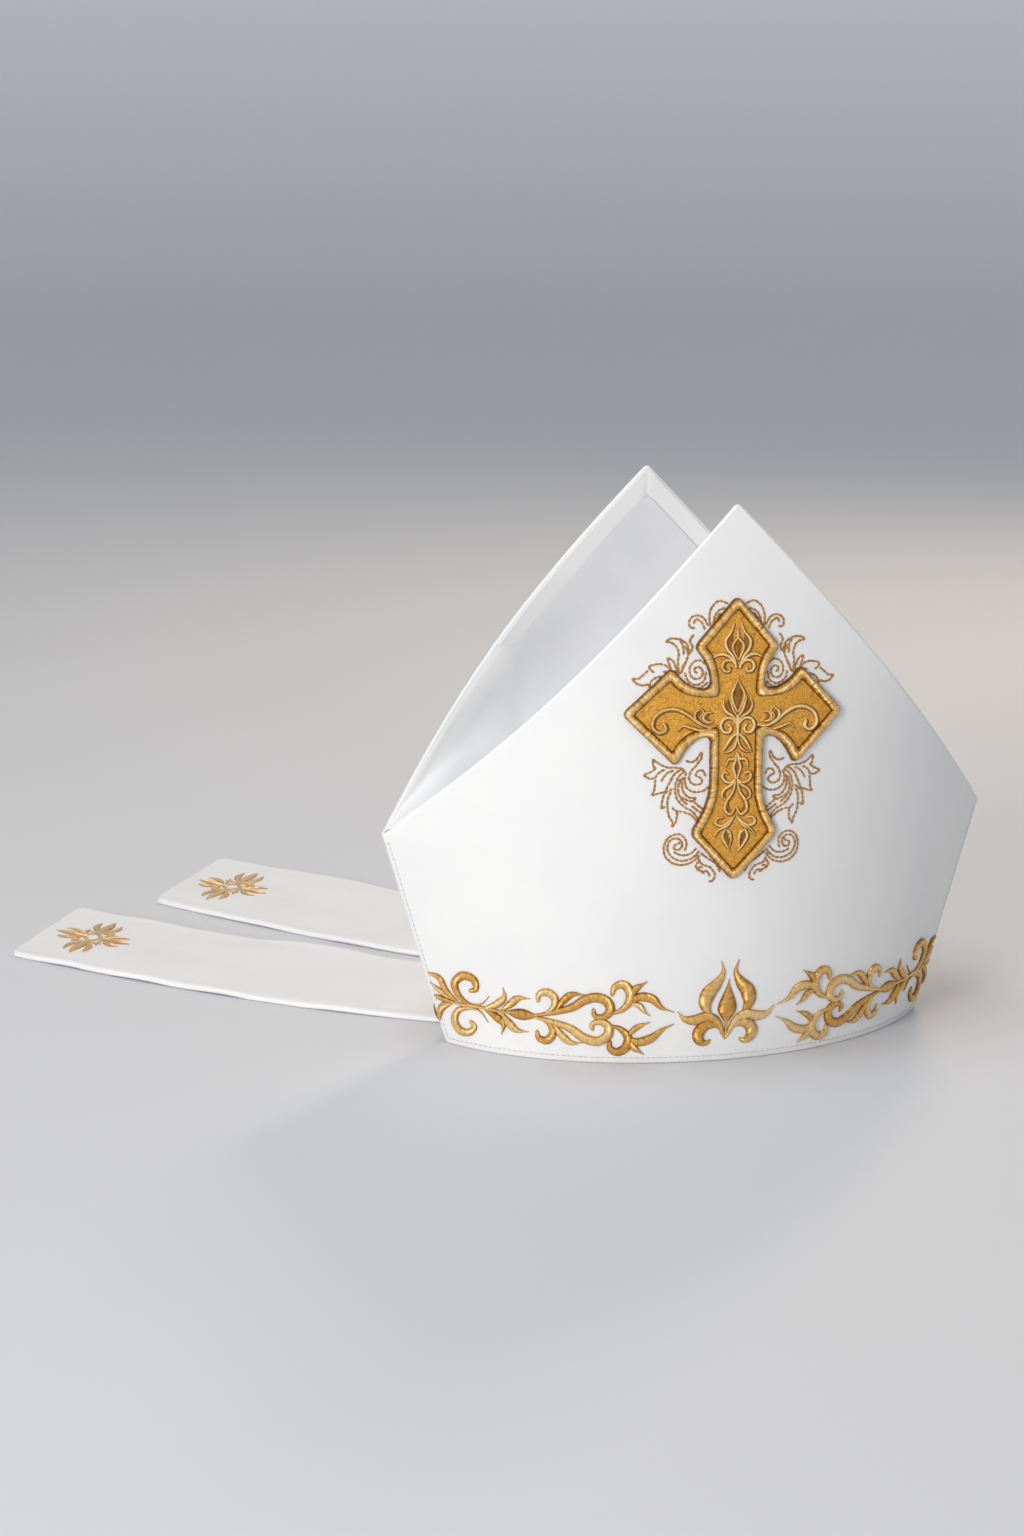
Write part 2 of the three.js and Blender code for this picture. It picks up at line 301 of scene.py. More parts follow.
# Collects thread strokes: domed tops, flat backs, pointed or round ends
class ThreadWork:
    def __init__(self):
        self.points, self.faces, self.uvs, self.tones, self.edges = [], [], [], [], []

    def put(self, point, u, v, tone, edge):
        self.points.append(point)
        self.uvs.append((u / 10, v / 10))
        self.tones.append(tone)
        self.edges.append(edge)
        return len(self.points) - 1

    def stroke(self, points, widths, pointAt, rise, base=0.0, peakAt=0.45, step=1.1, columns=6, tone=None,
               slant=strokeForm["slant"]):
        form = strokeForm
        line, total = smoothLine(points, step)
        start, peak, end = widths
        tone = random.random() if tone is None else tone
        lift = base + form["liftSpread"] * random.random()
        rings = []
        for i, (a, b, share) in enumerate(line):
            ahead, behind = line[min(i + 1, len(line) - 1)], line[max(i - 1, 0)]
            wayA, wayB = ahead[0] - behind[0], ahead[1] - behind[1]
            size = math.hypot(wayA, wayB) or 1e-6
            wayA, wayB = wayA / size, wayB / size
            if share < peakAt:
                width = swell(start, peak, clamp(share / peakAt))
            else:
                width = swell(end, peak, clamp((1 - share) / (1 - peakAt)))
            toEnd = min(share, 1 - share) * total
            width *= 1 + form["lumpy"] * random.uniform(-1, 1)
            full = form["thinRise"] + (1 - form["thinRise"]) * min(width / max(peak, 0.01), 1)
            tall = rise * full * math.sqrt(clamp(toEnd / max(width, 0.3) + 0.25))
            tall *= 1 + form["lumpy"] * random.uniform(-1, 1)
            ring = []
            for k in range(columns + 1):
                angle = math.pi * k / columns
                side = -math.cos(angle) * width / 2
                height = lift + tall * math.sin(angle) ** form["roundness"]
                point = pointAt(a - wayB * side, b + wayA * side, height)
                edge = abs(math.cos(angle)) ** 3
                ring.append(self.put(point, share * total + slant * side, side, tone, edge))
            rings.append(ring)
        tips = []
        for i, inward, width in ((0, 1, start), (len(line) - 1, -1, end)):
            a, b, share = line[i]
            nextA, nextB, _ = line[i + inward]
            reach = width * form["tipReach"]
            out = reach / (math.dist((a, b), (nextA, nextB)) or 1e-6)
            point = pointAt(a + (a - nextA) * out, b + (b - nextB) * out, lift + form["tipLift"])
            tips.append(self.put(point, share * total - inward * reach, 0, tone, form["tipEdge"]))
        for near, far in zip(rings, rings[1:]):
            self.faces += ringFaces(near, far)
        for ring, tip, forward in ((rings[0], tips[0], True), (rings[-1], tips[1], False)):
            for k in range(columns + 1):
                pair = (ring[k], ring[(k + 1) % (columns + 1)])
                self.faces.append((tip, *pair) if forward else (tip, *pair[::-1]))

    # A running stitch: short separate strokes along a line, each a little off it
    def stitches(self, points, pointAt, width, length, space, rise):
        line, total = smoothLine(points, 0.25)
        count = max(1, round(total / (length + space)))
        pitch = total / count
        wander, uneven, narrow = 0.12, (0.6, 1.4), 0.7
        for i in range(count):
            first = (i * pitch + space * 0.5 * random.uniform(*uneven)) / total
            last = ((i + 1) * pitch - space * 0.5 * random.uniform(*uneven)) / total
            picks = []
            for share in (first, (first + last) / 2, last):
                a, b, _ = line[min(round(share * (len(line) - 1)), len(line) - 1)]
                picks.append((a + random.uniform(-wander, wander), b + random.uniform(-wander, wander)))
            self.stroke(picks, (width * narrow, width, width * narrow), pointAt, rise, peakAt=0.5,
                        step=pitch / 3, columns=4)

    def finish(self, name, material, slot):
        return buildPiece(name, self.points, self.faces, material, self.uvs, self.tones, 70, self.edges)


def mirrored(points):
    return [(-a, b) for a, b in points]


print("stage: camera, floor and lights")
cameraPlace = dict(location=(-520.2, -1628.8, 528.9), aim=(-91.9, 23.8, 144.5), lens=75.62)
cameraData = bpy.data.cameras.new("camera")
camera = bpy.data.objects.new("camera", cameraData)
bpy.context.collection.objects.link(camera)
bpy.context.scene.camera = camera
cameraData.lens = cameraPlace["lens"]
cameraData.clip_end = 50
camera.location = toScene(cameraPlace["location"])
aimWay = Vector(toScene(cameraPlace["aim"])) - camera.location
camera.rotation_mode = "QUATERNION"
camera.rotation_quaternion = aimWay.to_track_quat("-Z", "Y")


def inputsOf(node, **values):
    for name, value in values.items():
        node.inputs[name.replace("_", " ")].default_value = value
    return node


def newMaterial(name):
    material = bpy.data.materials.new(name)
    material.use_nodes = True
    tree = material.node_tree
    return material, tree, tree.nodes["Principled BSDF"]


def wire(tree, fromNode, output, toNode, entry):
    tree.links.new(fromNode.outputs[output], toNode.inputs[entry])


# A round floor that sweeps up into a wall on every side
floorSize = dict(
    flat=4.6, sweep=1.6, wallTop=3.4, sweepSteps=12, around=72, colour=(0.68, 0.69, 0.71), wallGlow=0.34,
)
floorMaterial, floorTree, floorShader = newMaterial("studioFloor")
inputsOf(floorShader, Base_Color=(*floorSize["colour"], 1), Roughness=0.75,
         Emission_Color=(0.94, 0.96, 1.0, 1))
floorPlace = floorTree.nodes.new("ShaderNodeTexCoord")
floorHeight = floorTree.nodes.new("ShaderNodeSeparateXYZ")
wallLight = floorTree.nodes.new("ShaderNodeMapRange")  # the wall is lit evenly, as by its own lamps
inputsOf(wallLight, From_Max=floorSize["sweep"], To_Max=floorSize["wallGlow"])
wire(floorTree, floorPlace, "Object", floorHeight, "Vector")
wire(floorTree, floorHeight, "Z", wallLight, "Value")
wire(floorTree, wallLight, "Result", floorShader, "Emission Strength")
profile = [(r, 0.0) for r in (0.0, 1.0, 2.5, floorSize["flat"])]
for i in range(1, floorSize["sweepSteps"] + 1):
    angle = math.radians(90 * i / floorSize["sweepSteps"])
    radius = floorSize["flat"] + floorSize["sweep"] * math.sin(angle)
    profile.append((radius, floorSize["sweep"] * (1 - math.cos(angle))))
profile.append((floorSize["flat"] + floorSize["sweep"], floorSize["wallTop"]))
around = floorSize["around"]
floorPoints = [(0.0, 0.0, 0.0)]
for r, z in profile[1:]:
    for k in range(around):
        angle = 2 * math.pi * k / around
        floorPoints.append((r * math.cos(angle), r * math.sin(angle), z))
floorFaces = [(0, 1 + k, 1 + (k + 1) % around) for k in range(around)]
floorRings = [[1 + i * around + k for k in range(around)] for i in range(len(profile) - 1)]
for near, far in zip(floorRings, floorRings[1:]):
    floorFaces += ringFaces(near, far)
floorMesh = bpy.data.meshes.new("studioFloor")
floorMesh.from_pydata(floorPoints, [], floorFaces)
floorMesh.polygons.foreach_set("use_smooth", [True] * len(floorMesh.polygons))
studioFloor = bpy.data.objects.new("studioFloor", floorMesh)
studioFloor.data.materials.append(floorMaterial)
bpy.context.collection.objects.link(studioFloor)

world = bpy.data.worlds.new("studio")
bpy.context.scene.world = world
world.use_nodes = True
inputsOf(world.node_tree.nodes["Background"], Color=(0.95, 0.965, 1.0, 1), Strength=0.33)

lights = dict(  # places in millimetres, sizes in metres
    keyLight=dict(place=(-1850, -1780, 720), aim=(0, 0, 140), size=0.9, power=36.3, colour=(1.0, 0.98, 0.95)),
    topLight=dict(place=(-700, -300, 2300), aim=(0, 0, 100), size=1.4, power=17.3, colour=(0.96, 0.98, 1.0)),
    warmRim=dict(place=(950, 1350, 1250), aim=(60, 0, 150), size=0.4, power=9, colour=(1.0, 0.80, 0.58)),
)
for name, light in lights.items():
    data = bpy.data.lights.new(name, "AREA")
    data.shape, data.size = "DISK", light["size"]
    data.energy, data.color = light["power"], light["colour"]
    lamp = bpy.data.objects.new(name, data)
    bpy.context.collection.objects.link(lamp)
    lamp.location = toScene(light["place"])
    lamp.rotation_euler = (Vector(toScene(light["aim"])) - lamp.location).to_track_quat("-Z", "Y").to_euler()
bpy.context.scene.view_settings.view_transform = "Standard"

print("stage: materials")


# A node group that takes a UV place and the numbers given, and puts out numbers
def newGroup(name, numbersIn, numbersOut):
    group = bpy.data.node_groups.new(name, "ShaderNodeTree")
    group.interface.new_socket(name="UV", in_out="INPUT", socket_type="NodeSocketVector")
    for label, value in numbersIn.items():
        socket = group.interface.new_socket(name=label, in_out="INPUT", socket_type="NodeSocketFloat")
        socket.default_value = value
    for label in numbersOut:
        group.interface.new_socket(name=label, in_out="OUTPUT", socket_type="NodeSocketFloat")
    return group, group.nodes.new("NodeGroupInput"), group.nodes.new("NodeGroupOutput")


def mathNode(tree, operation, first, second=None):
    node = tree.nodes.new("ShaderNodeMath")
    node.operation = operation
    for i, value in enumerate((first, second)):
        if value is None:
            continue
        if isinstance(value, (int, float)):
            node.inputs[i].default_value = value
        else:
            tree.links.new(value, node.inputs[i])
    return node.outputs[0]


# Cloth: fine crossing threads, and a slow mottle of the surface
def makeWeaveGroup():
    group, entry, leave = newGroup("clothWeave", {"Threads": 6.0, "Mottle Size": 0.4}, ("Height", "Mottle"))
    waves = []
    for direction in ("X", "Y"):
        wave = group.nodes.new("ShaderNodeTexWave")
        wave.bands_direction = direction
        inputsOf(wave, Distortion=0.6, Detail=1.0, Detail_Scale=3.0)
        wire(group, entry, "UV", wave, "Vector")
        wire(group, entry, "Threads", wave, "Scale")
        waves.append(wave.outputs["Fac"])
    crossing = mathNode(group, "MULTIPLY", waves[0], waves[1])
    slub = inputsOf(group.nodes.new("ShaderNodeTexNoise"), Scale=9.0, Detail=4.0, Roughness=0.7)
    wire(group, entry, "UV", slub, "Vector")
    height = mathNode(group, "ADD", crossing, mathNode(group, "MULTIPLY", slub.outputs["Fac"], 0.7))
    group.links.new(height, leave.inputs["Height"])
    mottle = inputsOf(group.nodes.new("ShaderNodeTexNoise"), Detail=3.0, Roughness=0.55)
    wire(group, entry, "UV", mottle, "Vector")
    wire(group, entry, "Mottle Size", mottle, "Scale")
    wire(group, mottle, "Fac", leave, "Mottle")
    return group


# Satin stitch: threads that run across the stroke, bundled unevenly
def makeThreadGroup():
    group, entry, leave = newGroup("threadRows", {"Threads": 5.0, "Bundles": 12.0}, ("Height", "Bundle"))
    wave = group.nodes.new("ShaderNodeTexWave")
    wave.bands_direction = "X"
    inputsOf(wave, Distortion=0.8, Detail=2.0, Detail_Scale=2.0)
    wire(group, entry, "UV", wave, "Vector")
    wire(group, entry, "Threads", wave, "Scale")
    squeeze = group.nodes.new("ShaderNodeMapping")
    inputsOf(squeeze, Scale=(1.0, 0.12, 1.0))  # bundles run across the stroke
    wire(group, entry, "UV", squeeze, "Vector")
    bundle = inputsOf(group.nodes.new("ShaderNodeTexNoise"), Detail=5.0, Roughness=0.65)
    wire(group, squeeze, "Vector", bundle, "Vector")
    wire(group, entry, "Bundles", bundle, "Scale")
    bundled = mathNode(group, "MULTIPLY", bundle.outputs["Fac"], 1.4)
    group.links.new(mathNode(group, "ADD", wave.outputs["Fac"], bundled), leave.inputs["Height"])
    wire(group, bundle, "Fac", leave, "Bundle")
    return group


weaveGroup = makeWeaveGroup()
threadGroup = makeThreadGroup()


def rampNode(tree, stops):
    node = tree.nodes.new("ShaderNodeValToRGB")
    ramp = node.color_ramp
    while len(ramp.elements) < len(stops):
        ramp.elements.new(0.5)
    for element, (place, colour) in zip(ramp.elements, stops):
        element.position = place
        element.color = (*colour, 1)
    return node


def bumpInto(tree, shader, height, strength, distance, after=None):
    bump = inputsOf(tree.nodes.new("ShaderNodeBump"), Strength=strength, Distance=distance)
    tree.links.new(height, bump.inputs["Height"])
    if after is not None:
        tree.links.new(after.outputs["Normal"], bump.inputs["Normal"])
    tree.links.new(bump.outputs["Normal"], shader.inputs["Normal"])
    return bump


def clothPlace(tree):
    uv = tree.nodes.new("ShaderNodeUVMap")
    uv.uv_map = "cloth"
    return uv


def groupNode(tree, group, **values):
    node = tree.nodes.new("ShaderNodeGroup")
    node.node_tree = group
    wire(tree, clothPlace(tree), "UV", node, "UV")
    return inputsOf(node, **values)


def attributeNode(tree, name):
    node = tree.nodes.new("ShaderNodeAttribute")
    node.attribute_name = name
    return node


def makeCloth(name, light, dark, roughness, sheen, bump, mottleSize, edgeColour=None):
    material, tree, shader = newMaterial(name)
    weave = groupNode(tree, weaveGroup, Threads=6.2, Mottle_Size=mottleSize)
    ramp = rampNode(tree, [(0.3, dark), (0.62, light)])
    wire(tree, weave, "Mottle", ramp, "Fac")
    if edgeColour is None:
        wire(tree, ramp, "Color", shader, "Base Color")
    else:
        mix = tree.nodes.new("ShaderNodeMix")
        mix.data_type = "RGBA"
        mix.inputs["B"].default_value = (*edgeColour, 1)
        wire(tree, attributeNode(tree, "edge"), "Fac", mix, "Factor")
        wire(tree, ramp, "Color", mix, "A")
        wire(tree, mix, "Result", shader, "Base Color")
    inputsOf(shader, Roughness=roughness, Sheen_Weight=sheen, Sheen_Roughness=0.35, Specular_IOR_Level=0.35)
    soft = inputsOf(tree.nodes.new("ShaderNodeBump"), Strength=0.4, Distance=0.0008)
    wire(tree, weave, "Mottle", soft, "Height")
    bumpInto(tree, shader, weave.outputs["Height"], bump, 0.00012, soft)
    return material


# tone varies from stroke to stroke; edge is 1 where the threads go down into the cloth, and there the colour
# is darkened as painted shade
def makeThread(name, dark, middle, light, metallic, roughness, bundles=9.0, bump=0.6, edgeShade=0.3):
    material, tree, shader = newMaterial(name)
    rows = groupNode(tree, threadGroup, Threads=6.0, Bundles=bundles)
    tone, edge = attributeNode(tree, "tone"), attributeNode(tree, "edge")
    shade = mathNode(tree, "ADD", mathNode(tree, "MULTIPLY", rows.outputs["Bundle"], 0.85),
                     mathNode(tree, "MULTIPLY", tone.outputs["Fac"], 0.22))
    # painted shade: edgeShade darkens the colour towards each stroke's edges and tips
    lit = mathNode(tree, "SUBTRACT", mathNode(tree, "ADD", shade, 0.07),
                   mathNode(tree, "MULTIPLY", edge.outputs["Fac"], edgeShade))
    ramp = rampNode(tree, [(0.30, dark), (0.52, middle), (0.80, light)])
    tree.links.new(lit, ramp.inputs["Fac"])
    wire(tree, ramp, "Color", shader, "Base Color")
    inputsOf(shader, Metallic=metallic, Roughness=roughness, Specular_IOR_Level=0.5)
    bumpInto(tree, shader, rows.outputs["Height"], bump, 0.00025)
    return material


def makeBrocade(name, dark, middle, light, metallic, roughness):
    material, tree, shader = newMaterial(name)
    place = clothPlace(tree)
    grain = tree.nodes.new("ShaderNodeTexNoise")
    inputsOf(grain, Scale=7.5, Detail=6.0, Roughness=0.68, Distortion=1.6)
    speck = inputsOf(tree.nodes.new("ShaderNodeTexVoronoi"), Scale=10.0)
    for pattern in (grain, speck):
        wire(tree, place, "UV", pattern, "Vector")
    specks = mathNode(tree, "MULTIPLY", speck.outputs["Distance"], 0.18)
    mix = mathNode(tree, "SUBTRACT", grain.outputs["Fac"], specks)
    ramp = rampNode(tree, [(0.22, dark), (0.42, middle), (0.64, light)])
    tree.links.new(mix, ramp.inputs["Fac"])
    wire(tree, ramp, "Color", shader, "Base Color")
    inputsOf(shader, Metallic=metallic, Roughness=roughness)
    bumpInto(tree, shader, mix, 0.85, 0.0009)
    return material


satinCloth = makeCloth(
    "whiteSatin", light=(0.86, 0.857, 0.848), dark=(0.835, 0.833, 0.83),
    roughness=0.5, sheen=0.15, bump=0.35, mottleSize=0.2,
)
liningCloth = makeCloth(
    "greyWhiteLining", light=(0.755, 0.76, 0.77), dark=(0.72, 0.725, 0.74),
    roughness=0.66, sheen=0.1, bump=0.45, mottleSize=0.25, edgeColour=(0.90, 0.90, 0.895),
)
goldThread = makeThread(
    "goldSatinThread", dark=(0.33, 0.125, 0.012), middle=(0.76, 0.405, 0.078), light=(1.0, 0.84, 0.50),
    metallic=0.55, roughness=0.25, edgeShade=0.28,
)
# the border thread has strong painted shade along the feet of its profile
borderThread = makeThread(
    "goldBorderThread", dark=(0.20, 0.072, 0.009), middle=(0.80, 0.45, 0.10), light=(1.0, 0.87, 0.58),
    metallic=0.5, roughness=0.27, bundles=7.0, bump=0.7, edgeShade=0.52,
)
paleThread = makeThread(
    "paleGoldCord", dark=(0.52, 0.24, 0.04), middle=(0.88, 0.60, 0.22), light=(1.0, 0.82, 0.46),
    metallic=0.35, roughness=0.33,
)
# painted shade: the dark gold for the cords' shadows and the shaded petals
paintedShadeThread = makeThread(
    "shadedGoldFill", dark=(0.20, 0.075, 0.01), middle=(0.33, 0.14, 0.018), light=(0.48, 0.23, 0.04),
    metallic=0.3, roughness=0.42,
)
outlineThread = makeThread(
    "brownGoldThread", dark=(0.30, 0.12, 0.012), middle=(0.50, 0.225, 0.028), light=(0.66, 0.36, 0.07),
    metallic=0.12, roughness=0.5,
)
whiteThread = makeThread(
    "offWhiteThread", dark=(0.36, 0.36, 0.37), middle=(0.52, 0.52, 0.52), light=(0.70, 0.70, 0.69),
    metallic=0.0, roughness=0.6,
)
brocade = makeBrocade(
    "goldBrocade", dark=(0.50, 0.19, 0.015), middle=(0.86, 0.425, 0.05), light=(1.0, 0.66, 0.165),
    metallic=0.35, roughness=0.45,
)

print("stage: front and back walls")
panelGrid = dict(
    columns=72, lowerRows=26, upperRows=46, tipRows=7,
    spread=65,  # crowds the columns towards the side seams
    tipAngles=(46, 12), footTurn=(0.72, -1.0), sheet=(0.389, 0.300), area=0.078,
)


# The right-hand outline from the foot to the peak, as (x, z, outward x, outward z)
def panelOutline():
    corner, apex, wide = shape["cornerHeight"], shape["apexHeight"], shape["cornerHalfWidth"]
    bow, tip = shape["rimBow"], shape["tipRadius"]
    slant = math.atan(wide * (1 + bow) / slopeRise)
    tipCentre = apex - tip / math.sin(slant)
    tipStart = tipCentre + tip * math.sin(slant)
    places = []
    for i in range(panelGrid["lowerRows"]):
        z = corner * i / panelGrid["lowerRows"]
        places.append((sectionAt(z)[0], z))
    for i in range(panelGrid["upperRows"]):
        z = lerp(corner, tipStart, i / panelGrid["upperRows"])
        rise = (z - corner) / slopeRise
        part = (math.sqrt((1 - bow) ** 2 + 4 * bow * (1 - rise)) - (1 - bow)) / (2 * bow)
        places.append((part * wide, z))
    slope, last = panelGrid["tipAngles"]
    first = math.pi / 2 - math.radians(slope)
    for i in range(panelGrid["tipRows"]):
        angle = lerp(first, math.radians(last), i / (panelGrid["tipRows"] - 1))
        places.append((tip * math.sin(angle), tipCentre + tip * math.cos(angle)))
    outline = []
    for i, (x, z) in enumerate(places):
        ahead, behind = places[min(i + 1, len(places) - 1)], places[max(i - 1, 0)]
        wayX, wayZ = ahead[0] - behind[0], ahead[1] - behind[1]
        size = math.hypot(wayX, wayZ)
        outline.append((x, z, wayZ / size, -wayX / size))
    outline[0] = (*outline[0][:2], *panelGrid["footTurn"])
    return outline


def makeWall(side):
    outline = panelOutline()
    half = shape["wall"] / 2
    spread = math.radians(panelGrid["spread"])
    turn = 1 if side == "front" else -1
    grid = []
    for x, z, wayX, wayZ in outline:
        row = []
        for column in range(panelGrid["columns"] + 1):
            share = math.sin((2 * column / panelGrid["columns"] - 1) * spread) / math.sin(spread)
            row.append(((x - half * wayX) * share * turn, z - half * wayZ))
        grid.append(row)

    def edgeWay(row, column):
        _, _, wayX, wayZ = outline[row]
        if column in (0, panelGrid["columns"]):
            return (wayX * turn if column else -wayX * turn, wayZ)
        return (0, -1) if row == 0 else (0, 1)

    def pointAt(x, z, offset):
        return wallPoint(x, max(z, 0), offset, side)

    points, faces, uvs = softSheet(grid, edgeWay, pointAt, shape["wall"])
    uvs = [(lengthAt(u * 10, max(v * 10, 0)) / 10, v) for u, v in uvs]
    piece = buildPiece(f"{side}_panel_cloth", points, faces, satinCloth, uvs)
    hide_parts(f"{side}_panel")


for side in ("front", "back"):
    makeWall(side)

# The cloth turned over the sloping rims to the inside, mitred at the peak
print("stage: facings")
facing = dict(
    width=12.5, wall=0.6, endHeight=207, edge=1.6, gap=0.06, taper=9, peakClear=5.5, columns=96, rows=8,
    crowd=0.35,  # crowds the columns towards the peak
    crease=0.25, creaseWidth=1.6, dip=0.15, wave=0.12, waveLength=14, flat=(0.0125, 0.26),
)
rimDrop = facing["width"] * math.hypot(1, slopeRise / shape["cornerHalfWidth"])


def makeFacing(side):
    end = 0.0
    while rimHeight(end) > facing["endHeight"]:
        end += 0.25
    half = facing["wall"] / 2
    top = facing["edge"] + 3.0 * half
    room = rimDrop - facing["edge"] - 4.5 * half - 1
    turn = 1 if side == "front" else -1
    grid = []
    for r in range(facing["rows"] + 1):
        row = []
        for c in range(facing["columns"] + 1):
            share = 2 * c / facing["columns"] - 1
            x = share * abs(share) ** facing["crowd"] * (end - half)
            # the free ends run out to the rim
            full = math.sqrt(clamp((end - abs(x)) / facing["taper"])) * room
            below = lerp(top + 1 + full, top, r / facing["rows"])
            row.append((x * turn, min(rimHeight(x) - below, shape["apexHeight"] - facing["peakClear"])))
        grid.append(row)

    def edgeWay(r, c):
        if c in (0, facing["columns"]):
            return ((1 if c else -1) * turn, 0)
        return (0, -1.4) if r == 0 else (0, 1.4)

    def pointAt(x, z, offset):
        away = rimHeight(x) - z
        crease = -facing["crease"] * math.exp(-(abs(x) / facing["creaseWidth"]) ** 2)
        crease -= facing["dip"] * smoothstep(away, rimDrop - 3, rimDrop)
        spot = Vector((x / facing["waveLength"], z / facing["waveLength"], 5))
        soft = facing["wave"] * noise.noise(spot) + facing["wave"]
        return wallPoint(x, z, -shape["wall"] - facing["gap"] - facing["wall"] - offset - crease - soft, side)

    points, faces, uvs = softSheet(grid, edgeWay, pointAt, facing["wall"])
    piece = buildPiece(f"{side}_facing_cloth", points, faces, satinCloth, uvs)
    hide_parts(f"{side}_facing")


for side in ("front", "back"):
    makeFacing(side)

# The soft lining that joins the two horns
print("stage: gusset")
gusset = dict(
    halfWidth=168.4, wall=1.0, thinEdge=0.4, valleyRise=34, gap=1.2, snugGap=0.3, puff=0.8,
    rimMargin=1.3, facingMargin=1.5, apexMargin=0.4, fold=1.8, smallFold=0.5, foldIn=1.2,
    columns=110, rows=90, crowd=1.2, flat=(0.36, 0.34), area=0.064,
    # rim heights between which the lining changes: out of the corners, and on under the facings
    leavesCorner=(112, 132), meetsFacing=(203, 222), foldMeetsFacing=(205, 222), foldLeavesCorner=(120, 140),
)


# 1 where the lining lies over the turned-in cloth, between the facing's end and the side corner
def overTurned(rim, drop):
    beside = 1 - smoothstep(rim, *gusset["foldMeetsFacing"])
    over = smoothstep(drop, 0, 5) * (1 - smoothstep(drop, 12, 26)) * beside
    return over * smoothstep(rim, *gusset["foldLeavesCorner"])


def gussetPoint(along, across):
    x = along * gusset["halfWidth"]
    rim = rimHeight(x)
    under = smoothstep(rim, *gusset["meetsFacing"])
    margin = lerp(gusset["rimMargin"], rimDrop - gusset["facingMargin"], under)
    margin *= smoothstep(rim, *gusset["leavesCorner"])
    top = min(rim - margin, shape["apexHeight"] - rimDrop + gusset["apexMargin"])
    valley = shape["cornerHeight"] + gusset["valleyRise"] * (1 - (x / shape["cornerHalfWidth"]) ** 4)
    valley = min(valley, top - 0.3)
    climb = abs(across)
    z = lerp(valley, top, climb * climb)
    reach, _, stretch = bulgeAt(x, z)
    snug = lerp(gusset["snugGap"], gusset["gap"], smoothstep(rim, 203, 220))
    inside = max(reach - (shape["wall"] + snug) * stretch, 0.4)
    y = math.copysign(inside * (1 - (1 - climb) ** 3) - gusset["puff"] * overTurned(rim, top - z), across)
    # soft folds in the free-hanging part, none along the sewn edges
    free = (1 - climb**6) * (1 - abs(along) ** 8)
    fold = gusset["fold"] * noise.noise(Vector((x / 60, y / 42, z / 90 + 2)))
    fold += gusset["smallFold"] * noise.noise(Vector((x / 20, y / 30, 7)))
    flat = 1 - smoothstep(climb, 0.45, 0.9)  # folds rise in the valley and lean inwards on its sides
    lean = math.copysign(gusset["foldIn"] * free * (1 - flat) * abs(fold), across)
    return Vector((x, y - lean, z + fold * free * flat))


def makeGusset():
    columns, rows = gusset["columns"], gusset["rows"]
    step = 0.01
    points, uvs, edges, faces = [], [], [], []
    for offset in (gusset["wall"] / 2, -gusset["wall"] / 2):
        for r in range(rows + 1):
            across = 2 * r / rows - 1
            thin = lerp(1, gusset["thinEdge"], smoothstep(abs(across), 0.9, 1))
            for c in range(columns + 1):
                along = math.sin((2 * c / columns - 1) * gusset["crowd"]) / math.sin(gusset["crowd"])
                tangent = gussetPoint(along + step, across) - gussetPoint(along - step, across)
                other = gussetPoint(along, across + step) - gussetPoint(along, across - step)
                point = gussetPoint(along, across) + tangent.cross(other).normalized() * offset * thin
                points.append(tuple(point))
                drop = gussetPoint(along, math.copysign(1, across)).z - point.z
                beside = 1 - smoothstep(rimHeight(point.x), *gusset["foldMeetsFacing"])
                edges.append((1 - smoothstep(drop, 8, 30)) * beside)
                uvs.append((point.x / 10, (math.copysign(abs(point.z), across) + point.y) / 10))
    perFace = (columns + 1) * (rows + 1)

    def at(layer, r, c):
        return layer * perFace + r * (columns + 1) + c

    for r in range(rows):
        for c in range(columns):
            faces.append((at(0, r, c), at(0, r, c + 1), at(0, r + 1, c + 1), at(0, r + 1, c)))
            faces.append((at(1, r, c), at(1, r + 1, c), at(1, r + 1, c + 1), at(1, r, c + 1)))
    for c in range(columns):
        faces.append((at(0, 0, c), at(1, 0, c), at(1, 0, c + 1), at(0, 0, c + 1)))
        faces.append((at(0, rows, c), at(0, rows, c + 1), at(1, rows, c + 1), at(1, rows, c)))
    for r in range(rows):
        faces.append((at(0, r, 0), at(0, r + 1, 0), at(1, r + 1, 0), at(1, r, 0)))
        faces.append((at(0, r, columns), at(1, r, columns), at(1, r + 1, columns), at(0, r + 1, columns)))
    piece = buildPiece("gusset_lining", points, faces, liningCloth, uvs, None, 50, edges)
    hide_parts("gusset")


makeGusset()

print("stage: lappets")
lappetCloth = dict(
    wall=3.4, cornerRound=9, cornerReach=60, overhang=2.5, rows=120, columns=36, crowd=1.25, width=100.0,
    rootGap=2, rootStart=0.72,  # the share of the length where the sides turn to the foot of the back wall
    lift=3.2, dents=((0.4, 20, 26, 4), (0.9, 40, 48, 9)),  # depth, size across and along, seed
    flatten=0.45, edgeFall=0.5,
)
lappets = dict(
    near_lappet=dict(
        lower=[(-345, 226), (-278, 150), (-203, 72), (-117, 25)],
        upper=[(-292, 319), (-228, 238), (-112, 138), (-14, 69)],
        wave=3, flat=(0.105, 0.36), area=0.0345,
    ),
    far_lappet=dict(
        lower=[(-245, 325), (-188, 243), (-102, 142), (-6, 70)],
        upper=[(-186, 420), (-110, 330), (20, 180), (88, 52)],
        wave=8, flat=(0.115, 0.42), area=0.041,
    ),
)


def bezierPoint(points, t):
    s = 1 - t
    weights = (s**3, 3 * s * s * t, 3 * s * t * t, t**3)
    return [sum(w * p[n] for w, p in zip(weights, points)) for n in (0, 1)]


